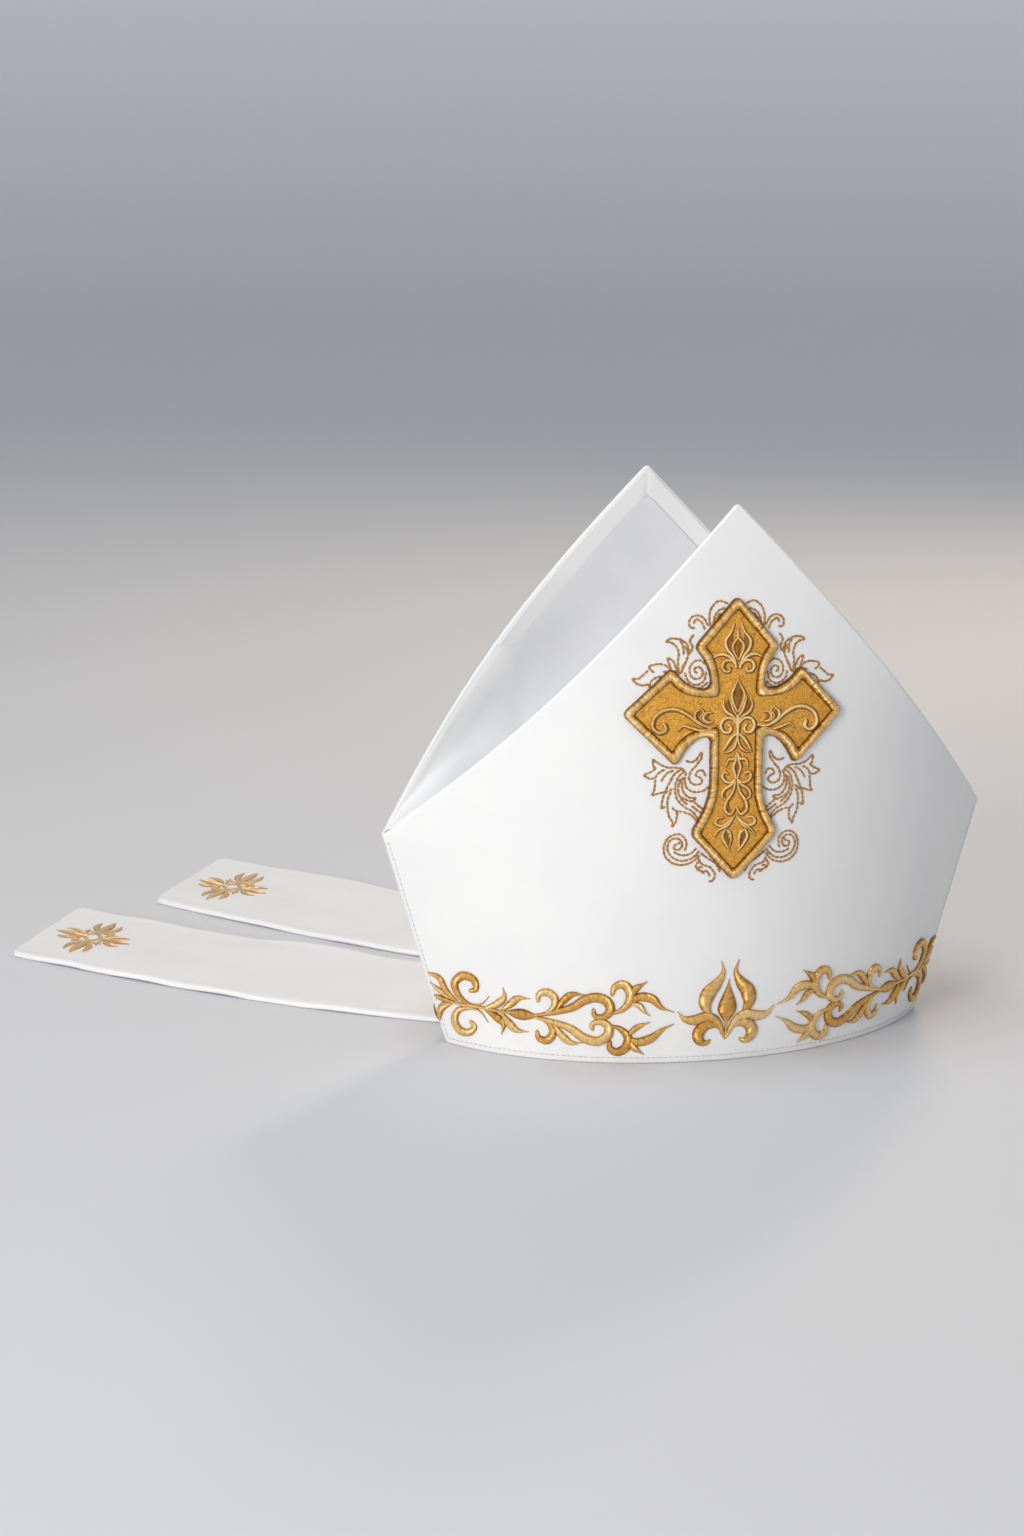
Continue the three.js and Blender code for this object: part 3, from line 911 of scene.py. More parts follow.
# Places on a lappet are (across, along) in millimetres, from the lower edge and from the free end
class LappetPlan:
    def __init__(self, edges):
        self.edges = edges
        self.run = [0.0]
        self.steps = 200
        middle = [self.middleAt(i / self.steps) for i in range(self.steps + 1)]
        for a, b in zip(middle, middle[1:]):
            self.run.append(self.run[-1] + math.dist(a, b))
        self.length = self.run[-1]
        self.width = lappetCloth["width"]

    def middleAt(self, t):
        a, b = bezierPoint(self.edges["lower"], t), bezierPoint(self.edges["upper"], t)
        return ((a[0] + b[0]) / 2, (a[1] + b[1]) / 2)

    def shareOf(self, along):
        for i in range(self.steps):
            if self.run[i + 1] >= along:
                return (i + (along - self.run[i]) / (self.run[i + 1] - self.run[i])) / self.steps
        return 1 + (along - self.length) / self.length

    def pointAt(self, across, along, offset):
        t = self.shareOf(along)
        side = across / self.width
        a, b = bezierPoint(self.edges["lower"], t), bezierPoint(self.edges["upper"], t)
        x, y = lerp(a[0], b[0], side), lerp(a[1], b[1], side)
        rootX = lerp(self.edges["lower"][3][0], self.edges["upper"][3][0], side)
        foot = wallPoint(rootX, 0, lappetCloth["rootGap"], "back")
        toRoot = smoothstep(t, lappetCloth["rootStart"], 1)
        wall = lappetCloth["wall"]
        seed = self.edges["wave"]
        # low waves off the surface, none at the two ends
        calm = smoothstep(along, 10, 70) * smoothstep(self.length - along, 0, 60)
        wave = max(0, noise.noise(Vector((across / 75, along / 60, seed))) + 0.12)
        lift = calm * lappetCloth["lift"] * wave
        # shallow dents in the upper face, inside the firmer edge
        toSide = min(across, self.width - across)
        inside = smoothstep(toSide, 1.5, 9)
        dent = -lappetCloth["flatten"] * inside
        for depth, wide, long, shift in lappetCloth["dents"]:
            dent += depth * noise.noise(Vector((across / wide, along / long, seed + shift))) * inside
        dent -= lappetCloth["edgeFall"] * (1 - smoothstep(toSide, 0, 3.5))
        dent *= clamp((offset + wall) / wall)
        return (lerp(x, foot[0], toRoot), lerp(y, foot[1], toRoot), wall + offset + lift + dent)


def makeLappet(name, edges):
    plan = LappetPlan(edges)
    rows, columns, half = lappetCloth["rows"], lappetCloth["columns"], lappetCloth["wall"] / 2
    grid = []
    for r in range(rows + 1):
        along = lerp(half - lappetCloth["overhang"], plan.length - half, r / rows)
        row = []
        for c in range(columns + 1):
            share = math.sin((2 * c / columns - 1) * lappetCloth["crowd"]) / math.sin(lappetCloth["crowd"])
            across = lerp(half, plan.width - half, (share + 1) / 2)
            toSide = min(across, plan.width - across)
            cut = 0.0  # the free end's corners are rounded
            corner = lappetCloth["cornerRound"]
            if toSide < corner:
                left = 1 - toSide / corner
                cut = corner * (1 - math.sqrt(1 - left * left))
                cut *= clamp(1 - along / lappetCloth["cornerReach"])
            row.append((across, along + cut))
        grid.append(row)

    def edgeWay(r, c):
        wayA = 0 if 0 < c < columns else (1 if c else -1)
        wayB = 0 if 0 < r < rows else (1 if r else -1)
        return (wayA, wayB)

    points, faces, uvs = softSheet(grid, edgeWay, plan.pointAt, lappetCloth["wall"])
    piece = buildPiece(f"{name}_cloth", points, faces, satinCloth, uvs)
    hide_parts(name)
    return plan


lappetPlans = {name: makeLappet(name, edges) for name, edges in lappets.items()}

print("stage: cross")
crossSize = dict(
    rimProfile=[  # (distance in from the outline, height)
        (0, 0.0), (0.15, 1.3), (0.6, 2.5), (1.4, 3.3), (2.4, 3.6), (3.4, 3.2), (4.2, 2.3), (4.75, 1.2),
        (5, 0.2),
    ],
    crest=4, crestInset=2.4,  # the profile's highest point, and how far in it lies
    tipRounding=4.2, tipSteps=6, sharpInset=9, outlineStep=0.7,
    fieldInset=2.6, fieldHeight=1.1, fieldCell=0.8, fieldCorner=(-58, 103), fieldSpan=(116, 148),
)
# The right half from the top to the foot, as (x, z); a "pull" bends the stretch between its neighbours
crossHalf = [
    (0, 251.7), (23.2, 225.2), (14.2, 217.5, "pull"), (14.2, 204.5), (26.4, 203.4, "pull"), (33.7, 215.8),
    (58.8, 190.8), (30.8, 163.3), (25.2, 179.8, "pull"), (14.2, 180), (14, 155), (14.6, 142.6, "pull"),
    (23.8, 129.2), (0, 102.9),
]


# The outline moved inwards, every inset with the same number of points
def crossOutline(inset):
    marks = crossHalf + [(-p[0], *p[1:]) for p in crossHalf[-2:0:-1]]
    count = len(marks)

    def inward(a, b):
        size = math.dist(a[:2], b[:2])
        return ((b[1] - a[1]) / size, -(b[0] - a[0]) / size)

    moved = []
    for i, mark in enumerate(marks):
        before, after = inward(marks[i - 1], mark), inward(mark, marks[(i + 1) % count])
        sumX, sumZ = before[0] + after[0], before[1] + after[1]
        scale = 2 * inset / (sumX**2 + sumZ**2)
        moved.append((mark[0] + sumX * scale, mark[1] + sumZ * scale))
    bends = [len(mark) == 3 for mark in marks]
    outline = []

    def along(a, b, bend, t):
        if bend is None:
            return (lerp(a[0], b[0], t), lerp(a[1], b[1], t))
        s = 1 - t
        return tuple(s * s * a[n] + 2 * s * t * bend[n] + t * t * b[n] for n in (0, 1))

    stretches = []  # from corner to corner, straight or bent
    for i in range(count):
        if bends[i]:
            continue
        if bends[(i + 1) % count]:
            stretches.append((i, (i + 2) % count, (i + 1) % count))
        else:
            stretches.append((i, (i + 1) % count, None))
    for k, (i, j, bend) in enumerate(stretches):
        a, b = moved[i], moved[j]
        pull = None if bend is None else moved[bend]
        plain = math.dist(marks[i][:2], marks[j][:2])
        steps = max(6, round(plain / crossSize["outlineStep"]))
        margin = crossSize["tipRounding"] / plain
        rounding = clamp(1 - inset / crossSize["sharpInset"])
        start, end = margin * rounding, 1 - margin * rounding
        for n in range(steps):
            outline.append(along(a, b, pull, lerp(start, end, n / steps)))
        # round the corner towards the next stretch
        nextI, nextJ, nextBend = stretches[(k + 1) % len(stretches)]
        nextPlain = math.dist(marks[nextI][:2], marks[nextJ][:2])
        nextPull = None if nextBend is None else moved[nextBend]
        here = along(a, b, pull, end)
        there = along(moved[nextI], moved[nextJ], nextPull, crossSize["tipRounding"] / nextPlain * rounding)
        for n in range(crossSize["tipSteps"]):
            outline.append(along(here, there, b, n / crossSize["tipSteps"]))
    return outline


# The cross sits a touch off centre and its arms run down very slightly to the right
crossSeat = dict(shift=-1.5, widen=1.015, middle=178, lift=0.8, stretch=1.018, lean=0.026)


def frontPoint(x, z, offset):
    seat = crossSeat
    height = seat["middle"] + (z - seat["middle"]) * seat["stretch"] - seat["lean"] * x + seat["lift"]
    return wallPoint(x * seat["widen"] + seat["shift"], height, offset, "front")


def makeCrossBorder():
    profile, crest = crossSize["rimProfile"], crossSize["crestInset"]
    outlines = [crossOutline(inset) for inset, _ in profile]
    middle = outlines[crossSize["crest"]]
    count = len(middle)
    run = [0.0]
    for i in range(count - 1):
        run.append(run[-1] + math.dist(middle[i], middle[i + 1]))
    points, uvs, tones, edges, faces = [], [], [], [], []
    ridge = [random.uniform(-1, 1) for _ in range(count)]
    for k, (inset, height) in enumerate(profile):
        for i, (x, z) in enumerate(outlines[k]):
            uneven = 0.10 * ridge[i] + 0.22 * noise.noise(Vector((run[i] / 3.1, 0, 1)))
            nudge = 0.16 * ridge[(i * 7 + k) % count] if k in (0, len(profile) - 1) else 0
            points.append(frontPoint(x + nudge, z + nudge, height * (1 + uneven * 0.5)))
            uvs.append((run[i] / 10, inset / 10))
            tones.append(0.5 + 0.5 * noise.noise(Vector((run[i] / 6, 4, 1))))
            # edge rises from the crest to both feet of the border, where the border thread paints shade
            edges.append(min(1, abs(inset - crest) / crest) ** 3)
    layers = len(profile)
    for k in range(layers):
        for i in range(count):
            j = (i + 1) % count
            a, b = k * count, ((k + 1) % layers) * count
            faces.append((a + i, a + j, b + j, b + i))
    piece = buildPiece("cross_border_stitching", points, faces, borderThread, uvs, tones, 60,
                       edges)
    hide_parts("cross_border")


def insideOutline(x, z, outline):
    inside = False
    for (ax, az), (bx, bz) in zip(outline, outline[1:] + outline[:1]):
        if (az > z) != (bz > z) and x < (bx - ax) * (z - az) / (bz - az) + ax:
            inside = not inside
    return inside


def fieldHeight(x, z):
    grain = 0.07 * noise.noise(Vector((x / 1.6, z / 1.6, 2))) + 0.09 * noise.noise(Vector((x / 5, z / 5, 6)))
    return crossSize["fieldHeight"] + grain


def makeCrossField():
    outline = crossOutline(crossSize["fieldInset"])
    cell = crossSize["fieldCell"]
    left, foot = crossSize["fieldCorner"]
    columns, rows = (round(span / cell) for span in crossSize["fieldSpan"])
    used, points, uvs, faces = {}, [], [], []

    def vertex(c, r, layer):
        key = (c, r, layer)
        if key not in used:
            x, z = left + c * cell, foot + r * cell
            used[key] = len(points)
            points.append(frontPoint(x, z, fieldHeight(x, z) if layer == 0 else 0.1))
            uvs.append((x / 10, z / 10))
        return used[key]

    filled = set()
    for r in range(rows):
        for c in range(columns):
            if insideOutline(left + (c + 0.5) * cell, foot + (r + 0.5) * cell, outline):
                filled.add((c, r))
    for c, r in sorted(filled):
        corners = ((c, r), (c + 1, r), (c + 1, r + 1), (c, r + 1))
        faces.append(tuple(vertex(*corner, 0) for corner in corners))
        faces.append(tuple(vertex(*corner, 1) for corner in corners[::-1]))
        for k, beside in enumerate(((c, r - 1), (c + 1, r), (c, r + 1), (c - 1, r))):
            if beside not in filled:
                a, b = corners[k], corners[(k + 1) % 4]
                faces.append((vertex(*b, 0), vertex(*a, 0), vertex(*a, 1), vertex(*b, 1)))
    piece = buildPiece("cross_field_brocade", points, faces, brocade, uvs, None, 70)
    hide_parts("cross_field")


makeCrossBorder()
makeCrossField()

# Raised cords and shaded petals on the brocade: right halves, as lines of (x, z) with the widths at
# the start, the widest place and the end
crossCords = [
    # top fleur
    ([(2, 237.5), (3.4, 233.5), (6.6, 228.6), (5.6, 224.2), (3, 221.2), (0.9, 215)], (0.5, 1.3, 0.9)),
    ([(0.2, 235), (-0.3, 231.5), (2.9, 226.5), (0.3, 219)], (0.4, 1.1, 0.7)),
    ([(13, 220.3), (9.8, 221.8), (6.4, 221.6), (3.6, 219.8), (1.2, 216.6)], (0.6, 1.3, 0.8)),
    ([(1, 216.2), (3.9, 218.8), (7.2, 218.4), (8.4, 215.6), (6.8, 213.3), (4.6, 213.4), (4.5, 215.4)],
     (0.8, 1.35, 0.9)),
    # tulip over the crossing
    ([(0, 209.5), (1.2, 206.5), (3.4, 201.2), (2.3, 196.8), (0.2, 192.3)], (0.4, 1.2, 0.8)),
    ([(4.7, 201), (3.7, 197.5), (2.6, 194), (0.6, 190.6)], (0.5, 1.2, 0.9)),
    ([(7.2, 198.8), (7.6, 196), (5.8, 192.4), (2.8, 190.6), (0.4, 187.6)], (0.5, 1.3, 0.9)),
    # spirals at the crossing and the stem
    ([(0.7, 186.4), (3.2, 189.2), (6.9, 189.1), (8.8, 185.8), (7.4, 182.4), (4.4, 182.1), (3.4, 184.4),
      (5, 186.2)], (0.8, 1.35, 0.9)),
    ([(0.2, 191), (0.3, 186), (-0.2, 181), (0.6, 176.5)], (0.9, 1.3, 0.7)),
    ([(0.4, 181.5), (3.4, 178.9), (5.8, 175.2), (7.6, 171.8)], (0.7, 1.4, 0.5)),
    ([(0.3, 178), (1.6, 174.4), (4.2, 172.2), (7, 171.6)], (0.7, 1.2, 0.5)),
    # arm: an S-scroll that ends in a volute
    ([(10.9, 185.6), (14.6, 184.9), (19.6, 186.6), (25.4, 191), (31.6, 194), (38.2, 193.3), (42.8, 189),
      (43.2, 184.6), (39.8, 181.9), (36.6, 183.7), (37.6, 186.6)], (0.7, 1.5, 1.4)),
    ([(30.6, 183.2), (28.3, 185.6), (24.5, 184.7), (19, 183.2), (13, 184.3)], (0.6, 1.3, 0.8)),
    ([(19, 194.4), (22, 192.4), (22, 189), (17.9, 186.2)], (0.5, 1.4, 0.6)),
    ([(19, 194.4), (17.6, 192.6), (19.6, 190.2), (17.4, 187)], (0.5, 0.9, 0.5)),
    ([(13.4, 192.4), (16.8, 192), (18, 189.6), (15, 187.2), (12.8, 187.8)], (0.5, 1.3, 0.6)),
    # shaft
    ([(0, 171.8), (1.6, 168.4), (4.3, 168), (6, 164.2)], (0.6, 1.3, 0.6)),
    ([(0, 171.8), (0.8, 167.4), (1.9, 163.9), (0.9, 160.2), (0.3, 157.8)], (0.5, 1.2, 0.7)),
    ([(0.6, 157.8), (2.8, 156), (5.8, 156.6), (7.6, 159.2), (6.4, 161.6), (4.6, 160.4)], (0.7, 1.3, 0.9)),
    ([(0.5, 157.4), (2.6, 154.8), (6.4, 152.3), (7.4, 148.6), (5, 146.6)], (0.7, 1.3, 0.5)),
    ([(0.5, 156.9), (1.6, 151.6), (5.5, 144.8), (5.6, 141.2), (2.8, 139.2), (0.4, 142.8)], (0.7, 1.45, 0.9)),
    # foot
    ([(0.6, 138.2), (3.6, 135.2), (7.6, 133.2), (10.4, 134.6), (9.4, 137.4), (6.4, 137.6)], (0.7, 1.3, 0.8)),
    ([(1.2, 137.4), (4.2, 133.2), (8.4, 131.2), (10.8, 127.6)], (0.7, 1.2, 0.5)),
    ([(5.2, 131.4), (6.6, 127.8), (4.8, 123.6), (1.9, 119.2)], (0.7, 1.3, 0.4)),
    ([(5, 131.4), (2.4, 128.4), (2.2, 124.4), (3, 121.2)], (0.6, 1.1, 0.4)),
    ([(3.9, 131.6), (2.5, 129), (3.2, 126.4)], (0.4, 0.9, 0.4)),
]
# dark petal fills between the cords, in a deeper gold: painted shade of the recesses
crossShadedPetals = [
    ([(2.3, 236.8), (4.4, 230), (4, 224.6), (1.8, 219)], (0.5, 3.6, 0.8)),
    ([(0, 234.5), (0, 227.5), (0, 219.6)], (0.5, 3.2, 0.5)),
    ([(6.2, 217.4), (7.9, 215.4), (6.2, 214.2)], (0.8, 2.2, 0.8)),
    ([(0, 208.6), (0, 201), (0, 193.4)], (0.5, 4.6, 0.6)),
    ([(5.6, 199.6), (5.4, 195.6), (2.6, 191.8)], (0.4, 2.4, 0.6)),
    ([(19.6, 193.2), (20.6, 190.4), (18.4, 187.6)], (0.4, 2.2, 0.5)),
    ([(14.6, 191.4), (16.4, 189.8), (14.4, 188)], (0.4, 1.9, 0.5)),
    ([(1.4, 179.6), (4.4, 175.6), (6.2, 172.4)], (0.4, 1.9, 0.4)),
    ([(0, 170), (0.2, 164.4), (0, 159.4)], (0.4, 2.9, 0.5)),
    ([(3.6, 155.2), (6.2, 151.6), (5.6, 147.6)], (0.5, 2.0, 0.5)),
    ([(4.6, 147), (4.4, 142.6), (2.6, 140.6)], (0.5, 2.2, 0.6)),
    ([(5, 130.6), (4.6, 125.8), (2.4, 120.4)], (0.5, 3.2, 0.4)),
]
relief = dict(cordRise=1.5, cordWiden=1.18, cordSlant=0.5, shadeWiden=1.9, shadeRise=0.24, petalWiden=0.86,
              petalRise=0.36, step=0.8)
cordWork, paintedShadeWork = ThreadWork(), ThreadWork()
for points, widths in crossCords:
    for line in (points, mirrored(points)):
        wide = tuple(w * relief["cordWiden"] for w in widths)
        cordWork.stroke(line, wide, frontPoint, relief["cordRise"], crossSize["fieldHeight"] - 0.1,
                        step=relief["step"], slant=relief["cordSlant"])
        # painted shadow: a dark low stroke under each cord's lower right side, where its shadow falls
        wide = tuple(w * relief["shadeWiden"] for w in widths)
        castShadowLine = [(x + 0.5, z - 0.35) for x, z in line]
        paintedShadeWork.stroke(castShadowLine, wide, frontPoint, relief["shadeRise"], crossSize["fieldHeight"] + 0.02,
                        step=relief["step"], tone=0.5)
for points, widths in crossShadedPetals:
    onMiddle = all(abs(p[0]) < 0.5 for p in points)
    for line in (points,) if onMiddle else (points, mirrored(points)):
        # shifted right in both halves, so the painted shade lies on the side away from the light
        line = [(x + 0.45, z) for x, z in line]
        wide = tuple(w * relief["petalWiden"] for w in widths)
        paintedShadeWork.stroke(line, wide, frontPoint, relief["petalRise"], crossSize["fieldHeight"] + 0.04,
                        step=relief["step"], tone=0.3)
cordWork.finish("cross_relief_cords", paleThread, "gold_thread")
paintedShadeWork.finish("cross_relief_painted_shade", paintedShadeThread, "gold_thread")

print("stage: scrolls around the cross")
scrollStitch = dict(width=1.3, length=2.0, space=0.42, rise=0.6)
# Right halves, as (x, z)
scrollLines = [
    [(4.7, 247.3), (9.4, 248.6), (13.2, 245.6), (14.7, 240.8), (14.1, 236)],
    [(6.4, 245.1), (10.2, 243.5), (12.2, 239.9), (12.6, 237)],
    [(8.6, 242.6), (10.4, 240.6), (11.4, 238.4)],
    [(15.2, 236), (17.6, 240.1), (21.6, 241.4), (24.9, 238.8), (24.4, 235.3), (22, 235.2)],
    [(16.8, 234.3), (18.6, 237.9), (21.6, 239.5), (22.8, 237.2)],
    [(22.6, 231.8), (24.6, 228.6), (23.4, 225.2), (25, 222), (27, 226)],
    # the tall curled leaf above each arm, then the small one and the long one beside it
    [(37, 228.1), (34.7, 229.6), (32.2, 229.8), (28.3, 228.7), (25.8, 226.4), (25.3, 222.6), (26.6, 218.4),
     (28.6, 214.8), (28.9, 212.2)],
    [(37, 228), (34.4, 227.8), (31.5, 225.6), (30.4, 222.6), (30.8, 217.1), (30.3, 213.2)],
    [(29.6, 229), (28.3, 226.5), (27.8, 221.6)],
    [(30.5, 212.5), (32.1, 215.8), (33.8, 219), (36.2, 220)],
    [(36.2, 220), (35.5, 217.7), (34.1, 213.8)],
    [(34.1, 213.7), (37, 216.2), (40.2, 216.8), (45.2, 215.9)],
    [(45.2, 215.9), (44.8, 214.1), (42.5, 212.5)],
    [(45.5, 213.5), (48.1, 211.1), (50.6, 209.2), (53.7, 209)],
    [(53.7, 209), (51.2, 206.6), (48, 205.8), (45.2, 206.7)],
    [(45.2, 204.8), (44.2, 207.7), (42, 209.8), (38.8, 210.6)],
    [(38.4, 212.8), (34.4, 213.2), (31.1, 213)],
    [(20.7, 212.2), (22.3, 213.4), (21.6, 215.2), (19.2, 215), (18, 212.3), (19.9, 209.5), (23.3, 209.9),
     (24.9, 213.2), (23.6, 217.2), (19.8, 218.8), (16.7, 216.6)],
    [(16.4, 213), (17.4, 208.4), (21.4, 206.2), (25.6, 208.4), (27.2, 212.6)],
    [(15.4, 207.6), (19.4, 204.8), (24.6, 205.4), (28.6, 208.7)],
    [(15.2, 205), (20, 202.8), (25, 203.6)],
    [(26.8, 218), (28.2, 214.6), (30.2, 212), (33, 211)],
    # below the arms: the S-scroll, then the jagged leaf with its veins and stems
    [(26.2, 167.4), (24.5, 166.6), (21.9, 166.8), (20, 168.8), (18.3, 171.8)],
    [(18.3, 171.8), (18, 170), (20.2, 165.4), (22.9, 162.4), (24.3, 158.4), (23.4, 155.8), (20.6, 154.6),
     (18, 155.6), (17.6, 157.4), (18.9, 158.6), (20.9, 159.4), (20.3, 161.4), (17.5, 162.1), (15.8, 159)],
    [(25.7, 161.1), (26.6, 157.4), (25.8, 153.8), (23.5, 151.6), (19.5, 150.8), (16.6, 151.7), (14, 153.8)],
    [(27.5, 162.9), (30.6, 163.5), (35.4, 163.7), (39.9, 165.7), (42.5, 168.1)],
    [(42.5, 168.1), (42.7, 166), (42.1, 163.8), (40.8, 163.2)],
    [(40.8, 163.2), (43, 161.6), (47.2, 159.5)],
    [(47.2, 159.5), (45.4, 158.4), (43.2, 157.6), (41.5, 158)],
    [(41.3, 157.9), (40.2, 160.2), (38.5, 161.7), (36.6, 162.4)],
    [(41.1, 157.3), (41.4, 154.6), (41.8, 150.9), (43.1, 148.9)],
    [(43.1, 148.9), (40.5, 149.6), (37, 150.7)],
    [(26.6, 162.6), (29.3, 162), (32.1, 159.7), (34.2, 155.4), (36.4, 150.7), (37.4, 146.7), (38, 141.9)],
    [(38, 141.9), (35.9, 143.1)],
    [(38.4, 156.2), (37.2, 158.5), (35, 160.9), (32.2, 162.2)],
    [(32.4, 152.6), (34.5, 151.4), (36.3, 149.9)],
    [(33.2, 151.1), (34.5, 148), (34.9, 143), (34.1, 138.3), (32.1, 134.6), (32.3, 132.2)],
    [(32.3, 132.2), (30.6, 134.6), (29.9, 138), (30.1, 140.5)],
    [(32.3, 143), (31.2, 141.3), (29.7, 140.7), (27.3, 140.7)],
    [(26.8, 140.5), (23.2, 139), (19.3, 135.2)],
    [(26, 161.8), (28.9, 159.8), (30.7, 156.4), (31.3, 151.7), (30.2, 147.4), (26.9, 143.4), (22.2, 140.7),
     (19.1, 136.6)],
    [(28.7, 157.8), (29.6, 154.1), (29.5, 150.4), (27.3, 146.4), (24.6, 144.2)],
    [(27.5, 158.8), (28, 154.8), (26.7, 150.4), (24.1, 148.1), (20.3, 147.7)],
    [(20.3, 147.7), (22.4, 145.9), (25.6, 146.9), (28.6, 148.4)],
    [(21.7, 145.7), (19, 143.7), (16.3, 141.3)],
    [(22.8, 143.5), (19.9, 141.5), (17.1, 139.3)],
    # volute beside the foot
    [(29.6, 123.4), (31.1, 122.2), (30.3, 120.4), (27.9, 120.6), (26.7, 123.2), (28.5, 126.1), (32.1, 125.9),
     (34.2, 122.4), (32.9, 117.5), (27.6, 114.4), (21.8, 115.6), (17.8, 119.8)],
    [(28.9, 123), (28.1, 124.6)],
    [(25.2, 119.6), (24.9, 125.2), (28.2, 128.4), (33.4, 127.2), (36, 122.2), (34.6, 115.8), (28.6, 112.2),
     (22.2, 113.2), (17.4, 117.4)],
    [(31, 119), (27.4, 117.4), (22.8, 118), (19.4, 121.2)],
    [(19, 117.8), (16.8, 113), (11.8, 110.6), (9.2, 106.6), (10.4, 103.4), (12.4, 103.3)],
    [(17.2, 118.6), (13.8, 115.8), (8.6, 112.2), (6.6, 108.2)],
    [(17.8, 114.2), (19.6, 111.4), (16.4, 108.6), (13.4, 108.6), (11.8, 106)],
    [(15.8, 111), (18.6, 110.4), (14.6, 107.4)],
]
scrollWork = ThreadWork()
for points in scrollLines:
    for line in (points, mirrored(points)):
        scrollWork.stitches(line, frontPoint, **scrollStitch)
scrollWork.finish("running_stitch_scrolls", outlineThread, "gold_thread")

print("stage: vine border")
vineForm = dict(rise=2.0, thinRise=0.55, fullWidth=4.5, widen=1.06, fleurRise=2.1, step=1.0, columns=8)
# Places are (length along the wall, height); then come the widths at the start, the widest place and the
# end, and the share of the length where the widest place is
vineStrokes = [
    # stem from the seam inwards
    ([(-154, 26.2), (-146.3, 25.9), (-132.9, 26), (-122.5, 25.4), (-116, 25.4)], (1.5, 1.8, 1.6), 0.5),
    # leaves that reach the side seam
    ([(-168.2, 41), (-160.3, 38.9), (-156.2, 32.8), (-148.2, 26.5)], (0.8, 3.6, 1.2), 0.4),
    ([(-166.9, 35.2), (-162, 32.5), (-153.8, 28)], (0.6, 3.2, 1), 0.5),
    ([(-164.6, 28), (-157.7, 26.9), (-150.1, 26.1)], (0.8, 3.2, 1.2), 0.4),
    ([(-161.4, 12.9), (-160, 19.8), (-152, 25.8)], (0.7, 3.8, 1.1), 0.4),
    ([(-162.6, 20.2), (-158.6, 23.6), (-151.4, 25.6)], (0.6, 2.6, 1), 0.5),
    # big curls
    ([(-129.2, 33.3), (-133.8, 28), (-140, 26.6), (-147.4, 30.4), (-150.6, 37.4), (-145, 43), (-138.2, 41),
      (-137.4, 36), (-141, 34.6)], (0.5, 4.9, 2.4), 0.66),
    ([(-129.1, 17.7), (-134.5, 23.6), (-141.7, 24.4), (-148.8, 21.1), (-150.5, 14.7), (-146.6, 9.9),
      (-140.6, 10.2), (-137.6, 14.4), (-140.4, 16.6)], (0.5, 4.9, 2.4), 0.66),
    # pairs of leaves along the stem
    ([(-132, 25.9), (-124.3, 29.4), (-120.3, 34.1), (-121.4, 39.4)], (1, 4.5, 0.5), 0.5),
    ([(-132, 25.5), (-125, 22.2), (-120.1, 18), (-121, 11.9)], (1, 4.5, 0.5), 0.5),
    ([(-121.7, 25.9), (-116.8, 30.3), (-113, 33.9), (-105.6, 34.6)], (1, 4.5, 0.5), 0.45),
    ([(-121.7, 25), (-117.2, 19.6), (-112.9, 15.9), (-105.5, 15.4)], (1, 4.5, 0.5), 0.45),
    # bud
    ([(-118.5, 25.6), (-110, 25.1), (-101.6, 24.9)], (1.2, 6.2, 1), 0.5),
    # C-scrolls
    ([(-103.4, 25.1), (-97.3, 26.6), (-89.5, 29), (-81.9, 32), (-76, 36.3), (-70, 38), (-64.2, 35.9),
      (-62.3, 30.9), (-65.6, 26.9), (-70.4, 27.6), (-71.2, 31)], (1.5, 5.3, 2.1), 0.62),
    ([(-103.4, 24.4), (-93.1, 22.6), (-82.8, 19.3), (-75, 14.3), (-68, 12.8), (-62.6, 17), (-63.4, 22.3),
      (-68.6, 24), (-71.8, 21.8), (-70.9, 19.3)], (1.5, 5.3, 2.1), 0.62),
    # hooks above and below the bud
    ([(-97.3, 26.8), (-92.8, 31), (-92.2, 36.2), (-96.6, 39.3), (-100.9, 37.5), (-101.3, 33.3)],
      (1, 4.5, 1.8), 0.6),
    ([(-99.5, 23.8), (-94.2, 21.1), (-92.2, 16.2), (-95.3, 11.5), (-99.8, 12.6), (-101.1, 16.6)],
      (1, 4.5, 1.8), 0.6),
    ([(-91.5, 28.6), (-87.9, 34.7), (-83.4, 38.9), (-76, 39.3)], (0.9, 4.1, 0.5), 0.5),
    ([(-92.3, 22.3), (-87.4, 15.2), (-82, 11.2), (-75.2, 11.6)], (0.9, 4.1, 0.5), 0.5),
    # outer hooks
    ([(-62.2, 28.6), (-56.4, 31.2), (-52.5, 36.5), (-52.6, 42), (-56.5, 45.9), (-60.6, 44.3), (-61.8, 39.6)],
     (1.2, 5, 2), 0.6),
    ([(-62, 22.4), (-55.7, 19.8), (-52, 14.9), (-53.3, 9.2), (-57.8, 6.9), (-61.6, 9.6), (-61.4, 13)],
     (1.2, 5, 2), 0.6),
    # flowers
    ([(-52.9, 36.2), (-50, 43), (-43.6, 47.6)], (1, 3.9, 0.5), 0.45),
    ([(-54, 34.6), (-47.4, 38.8), (-40.6, 37.7), (-35.5, 32.6), (-28.4, 29.8)], (1.2, 5.1, 0.5), 0.4),
    ([(-53, 35), (-47.6, 34.2), (-44.2, 30.2), (-40.8, 27.8)], (0.8, 3.2, 0.5), 0.45),
    ([(-52.8, 15.6), (-48, 21.2), (-40.8, 24.3)], (1, 3.2, 0.5), 0.45),
    ([(-53.4, 15.8), (-46.8, 12.9), (-40, 14.9), (-35, 19.4), (-28.4, 23)], (1.2, 5.1, 0.5), 0.4),
    ([(-52.2, 15.4), (-48.8, 9.8), (-43, 5.4)], (1, 3.8, 0.5), 0.45),
]
